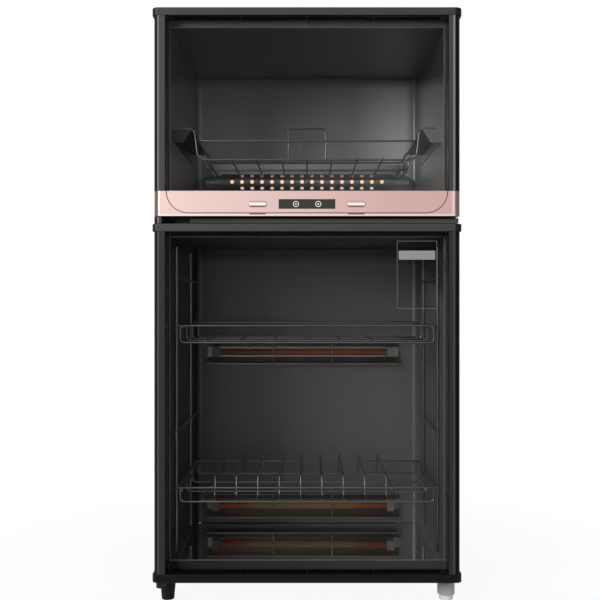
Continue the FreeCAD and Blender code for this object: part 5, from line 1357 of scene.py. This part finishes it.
# %% Lining and ends
LINING_PLACE = ((-148, 148), (129.5, 130), (627, 653))
lining = block("heater_lining_painted_glow", *LINING_PLACE)
round_edges(lining, lambda m, way: abs(way.x) > 0.99, 0.2, 2)
dress(lining, PAINTED_GLOW_LINING, "cabinet", "ceramic")

END_R, END_X, SHOULDER_R = 12, 182.5, 7
PLUG_R, PLUG_X = 12.6, (143.5, 150.5)
SOCKET_R, SOCKET_X, SOCKET_Y = 5.2, 146, 123.35


def heater_end(side):
    x = sorted((side * GUARD_END, side * END_X))
    end = drum("end", END_R, (sum(x) / 2, HEATER_Y, HEATER_Z), x[1] - x[0], "X", 96)
    round_edges(end, lambda m, way: near(m.x, side * END_X) and abs(way.x) < 0.01, SHOULDER_R, 8)
    carve(end, [block("back", (x[0] - 5, x[1] + 5), (HEATER_Y, 160), BEHIND)])
    carve(end, [half_round("plug", PLUG_R, mirrored(side, PLUG_X), HEATER_Y - 1.2)], "UNION")
    return carve(end, [drum("socket", SOCKET_R, (side * SOCKET_X, SOCKET_Y, HEATER_Z), 7.4, "X", 48)])


ends = join("heater_ends", [heater_end(side) for side in (-1, 1)])
soften(ends)
dress(ends, HEATER_GREY, "cabinet", "heater_black", "upper_heater_caps")
print("heater ends", len(ends.data.polygons), "faces")

# %% [markdown]
# ## Feet
# Three plain rubber feet taper towards the floor. A cone with a rounded lower rim is all they need, so one
# is modelled on the origin and copied to its three places.

# %% Rubber feet
FOOT_X, FEET_Y = 201.8, (-133, 150)
FOOT_R, FOOT_TOP_R = 9, 12.2
foot = drum("foot", FOOT_R, (0, 0, WRAP_FOOT / 2), WRAP_FOOT, "Z", 64, tip=FOOT_TOP_R)
round_edges(foot, level(0), 1.2, 4)
places = ((-FOOT_X, FEET_Y[0]), (-FOOT_X, FEET_Y[1]), (FOOT_X, FEET_Y[1]))
feet = [copy_of(foot, "foot", (*place, 0)) for place in places]
bpy.data.objects.remove(foot)
feet = join("rubber_feet_round", feet)
soften(feet)
dress(feet, RUBBER, "cabinet", "rubber", "rubber_feet")
print("feet", len(feet.data.polygons), "faces")

# %% [markdown]
# The front right foot levels the cabinet: a ribbed grip on a stud, with a round pad under it. The ribs could
# be small blocks welded on. Here every second pair of upright edges of a many-sided drum is pulled in, which
# keeps the grip one closed piece.

# %% Levelling foot
LEVEL_X, LEVEL_Y = FOOT_X, FEET_Y[0]
PAD_R, PAD_TOP = 10, 7
KNOB_R, KNOB_Z = 12.5, (7.5, 24.5)
RIBS, RIB_DEPTH = 28, 0.93  # the roots stand at this share of the grip's radius
SEAT, STUD, STUB = (4.05, 5.5, 5.1), (3, 30, 35), (4, 8, 10)  # radius, middle of the height, length


def turned(name, size):
    """A short round cutter or bar on the levelling foot's axis."""
    radius, middle, length = size
    return drum(name, radius, (LEVEL_X, LEVEL_Y, middle), length, "Z", 48)


pad = drum("level_pad", PAD_R, (LEVEL_X, LEVEL_Y, PAD_TOP / 2), PAD_TOP, "Z", 64)
round_edges(pad, level(0, PAD_TOP), 0.8, 4)
carve(pad, [turned("seat", SEAT)])
soften(pad)
dress(pad, PAD_PLASTIC, "levelling_pad", "foot_plastic", "levelling_pad")

knob_middle = (LEVEL_X, LEVEL_Y, (KNOB_Z[0] + KNOB_Z[1]) / 2)
knob = drum("level_knob", KNOB_R, knob_middle, KNOB_Z[1] - KNOB_Z[0], "Z", RIBS * 4)


def rib_root(m, way):
    """The two corners of every four that lie between two ribs."""
    turn = math.atan2(m.y - LEVEL_Y, m.x - LEVEL_X) / (2 * math.pi) * RIBS * 4
    return round(turn - 0.001) % 4 in (0, 1) and math.hypot(m.x - LEVEL_X, m.y - LEVEL_Y) > 5


pick(knob, "VERT", rib_root)
bpy.ops.transform.resize(value=(RIB_DEPTH, RIB_DEPTH, 1), center_override=[v * MM for v in knob_middle])
close(knob)
round_edges(knob, level(*KNOB_Z), 0.6, 3)
carve(knob, [turned("stud", STUD), turned("stub", STUB)], "UNION")
soften(knob)
dress(knob, LIGHT_PLASTIC, "levelling_knob", "foot_plastic", "levelling_knob")
print("knob", len(knob.data.polygons), "faces")

# %% [markdown]
# ## Screws and the bare label
# Pan-head screws hold the back panel, the heater strip and the upper room's rim. A head is a low drum with
# a rounded top and two crossed slots. For each group one is made, turned the way it faces, and copied to
# every place.

# %% Screws
HEAD_R, HEAD_HEIGHT = 3.2, 1.4
CROSS, CROSS_HALF = 1.9, 0.4  # half the length and half the width of a slot
FACES = {"front": -90, "back": 90}  # the turn that points a head that way


def screw(size, facing):
    """A pan head with a cross slot, with the middle of its seat at the origin."""
    head = drum("head", HEAD_R * size, (0, 0, HEAD_HEIGHT / 2 * size), HEAD_HEIGHT * size, "Z", 40)
    top = HEAD_HEIGHT * size
    round_edges(head, lambda m, way: near(m.z, top) and abs(way.z) < 0.01, 0.9 * size, 5)
    long, wide = (-CROSS * size, CROSS * size), (-CROSS_HALF * size, CROSS_HALF * size)
    carve(head, [block("slot", *pair, (top / 2, 3)) for pair in ((long, wide), (wide, long))])
    alone(head)
    turn = math.radians(FACES[facing])
    bpy.ops.transform.rotate(value=turn, orient_axis="X", center_override=(0, 0, 0))
    return settle("head")


SCREWS = {
    "rim_screws": (0.8, "front", [(x, -147, 830.5) for x in (-127, 0, 127)]),
    "strip_screws": (1.3, "front", [(x, 138.8, 664) for x in (-170, 161)]),
    "back_screws": (1.0, "back", [(x, 172, z) for x in (-206, 206) for z in (60, 440, 820)]),
}
for name, (size, facing, places) in SCREWS.items():
    head = screw(size, facing)
    group = join(name, [copy_of(head, "head", place) for place in places])
    bpy.data.objects.remove(head)
    soften(group)
    dress(group, SCREW, "cabinet", "zinc_sheet")
    print(name, len(places), "heads,", len(group.data.polygons), "faces")

# %% [markdown]
# On the lower pane sits a transparent film. Its print is left out, so only its thin frame and one plain
# silver strip are made, as foils a tenth of a millimetre thick. A texture could show them too, but a
# foil has its own edge and stays sharp from close by.

# %% Label
LABEL_X, LABEL_Z, LINE = (126, 182), (421, 516), 0.6
STRIP_X, STRIP_Z = (128.5, 179.5), (489.7, 502.3)
FILM_Y = (-178.32, -178.2)
label_frame = block("label_frame", LABEL_X, FILM_Y, LABEL_Z)
inside = [(a + LINE, b - LINE) for a, b in (LABEL_X, LABEL_Z)]
carve(label_frame, [block("hole", inside[0], (-179, -177), inside[1])])
dress(label_frame, FRAME_LINE, "lower_door", "tinted_glass")
strip = block("label_strip", STRIP_X, FILM_Y, STRIP_Z)
round_edges(strip, forward(*[(x, z) for x in STRIP_X for z in STRIP_Z]), 1, 4)
dress(strip, SILVER, "lower_door", "tinted_glass")
print("label strip", len(strip.data.polygons), "faces")

# %% [markdown]
# ## The camera, the floor and the light
# The cabinet is seen square from the front, from about the middle of its height. The lens is long, so
# the rooms are seen nearly straight in. The camera stays level and its lens is shifted a little instead of
# tilted, which keeps the upright lines upright.

# %% Camera
PIXELS = 600           # across a render
SCALE = 1.3985         # mm per pixel on the doors' front plane
DISTANCE = 1205.0      # mm from the camera to that plane
EYE_HEIGHT = 429
SENSOR = 36
SHIFT = (-7, 3)        # pixels

eye = (0, (CAP_FRONT - DISTANCE) * MM, EYE_HEIGHT * MM)
bpy.ops.object.camera_add(location=eye, rotation=(math.pi / 2, 0, 0))
camera = bpy.context.active_object
camera.name = "camera"
camera.data.sensor_width = SENSOR
camera.data.lens = SENSOR * DISTANCE / (PIXELS * SCALE)
camera.data.shift_x, camera.data.shift_y = [pixels / PIXELS for pixels in SHIFT]
bpy.context.scene.camera = camera
print("lens", round(camera.data.lens, 2), "mm")

# %% [markdown]
# The floor is a round pale sheet that fades into the white world and keeps the soft shadow under the
# cabinet. A mix with a Transparent shader does the fading, by the squared distance from the middle.

# %% Floor
FADE_FROM, FADE_TO = 0.06, 0.42  # squared metres
NEAR_FADE = 0.93       # how far the sheet has faded even under the cabinet
SHEET_R, SHEET_Z = 0.9, -0.0005

floor_finish = Finish("pale_floor", grey(0.86), 0.6)
x, y = floor_finish.along("X"), floor_finish.along("Y")
fade = floor_finish.node(
    "ShaderNodeMapRange", {"clamp": True}, i0=x * x + y * y, i1=FADE_FROM, i2=FADE_TO, i3=NEAR_FADE, i4=1.0
)
clear = floor_finish.node("ShaderNodeBsdfTransparent")
floor_mix = floor_finish.node(
    "ShaderNodeMixShader", i0=fade.outputs[0], i1=floor_finish.shader.outputs[0], i2=clear.outputs[0]
)
floor_finish.feed(floor_finish.out.inputs["Surface"], floor_mix.outputs[0])
bpy.ops.mesh.primitive_circle_add(vertices=96, radius=SHEET_R, fill_type="NGON", location=(0, 0, SHEET_Z))
floor = settle("floor")
floor.data.materials.append(floor_finish.material)
print("floor", round(floor.dimensions.x, 2), "m across")

# %% [markdown]
# The background is white, and so is what glass and metal mirror, but the world must not light the cabinet
# that strongly. The Light Path node tells who is looking: for the camera and for mirrored or passing rays
# the strength is 1, and for the light that falls on surfaces it is much less.

# %% World
AMBIENT = 0.27
world = bpy.data.worlds.new("studio")
bpy.context.scene.world = world
world.use_nodes = True
sky = Nodes(world.node_tree)
rays = sky.node("ShaderNodeLightPath").outputs
seen = Number(sky.tree, rays["Is Camera Ray"])
for kind in ("Is Glossy Ray", "Is Transmission Ray"):
    seen = seen | Number(sky.tree, rays[kind])
backdrop = sky.node("ShaderNodeBackground", Color=grey(1), Strength=AMBIENT + (1 - AMBIENT) * seen)
sky.node("ShaderNodeOutputWorld", Surface=backdrop.outputs[0])
print("world", len(sky.tree.nodes), "nodes")

# %% [markdown]
# Three area lamps stand in for a small studio. The key stands at the upper left, a weak fill opens the
# shadows at the right, and a broad lamp overhead draws the upper edges. They are kept low enough that a
# colour renders about as it is written.

# %% Lamps
def lamp(name, place, aim, size, power):
    bpy.ops.object.light_add(type="AREA", location=place)
    light = bpy.context.active_object
    light.name = name
    light.data.shape = "RECTANGLE"
    light.data.size, light.data.size_y = size
    light.data.energy = power
    way = Vector(aim) - Vector(place)
    light.rotation_euler = way.to_track_quat("-Z", "Y").to_euler()
    print(name, round(way.length, 2), "m away")


lamp("key", (-1.25, -1.75, 1.15), (0, 0, 0.45), (0.8, 0.8), 37.5)
lamp("fill", (1.5, -1.5, 0.9), (0, 0, 0.45), (0.7, 1.3), 3)
lamp("top", (0, -0.5, 2.0), (0, 0, 0.4), (1.4, 0.8), 7.5)
bpy.context.scene.view_settings.view_transform = "Standard"
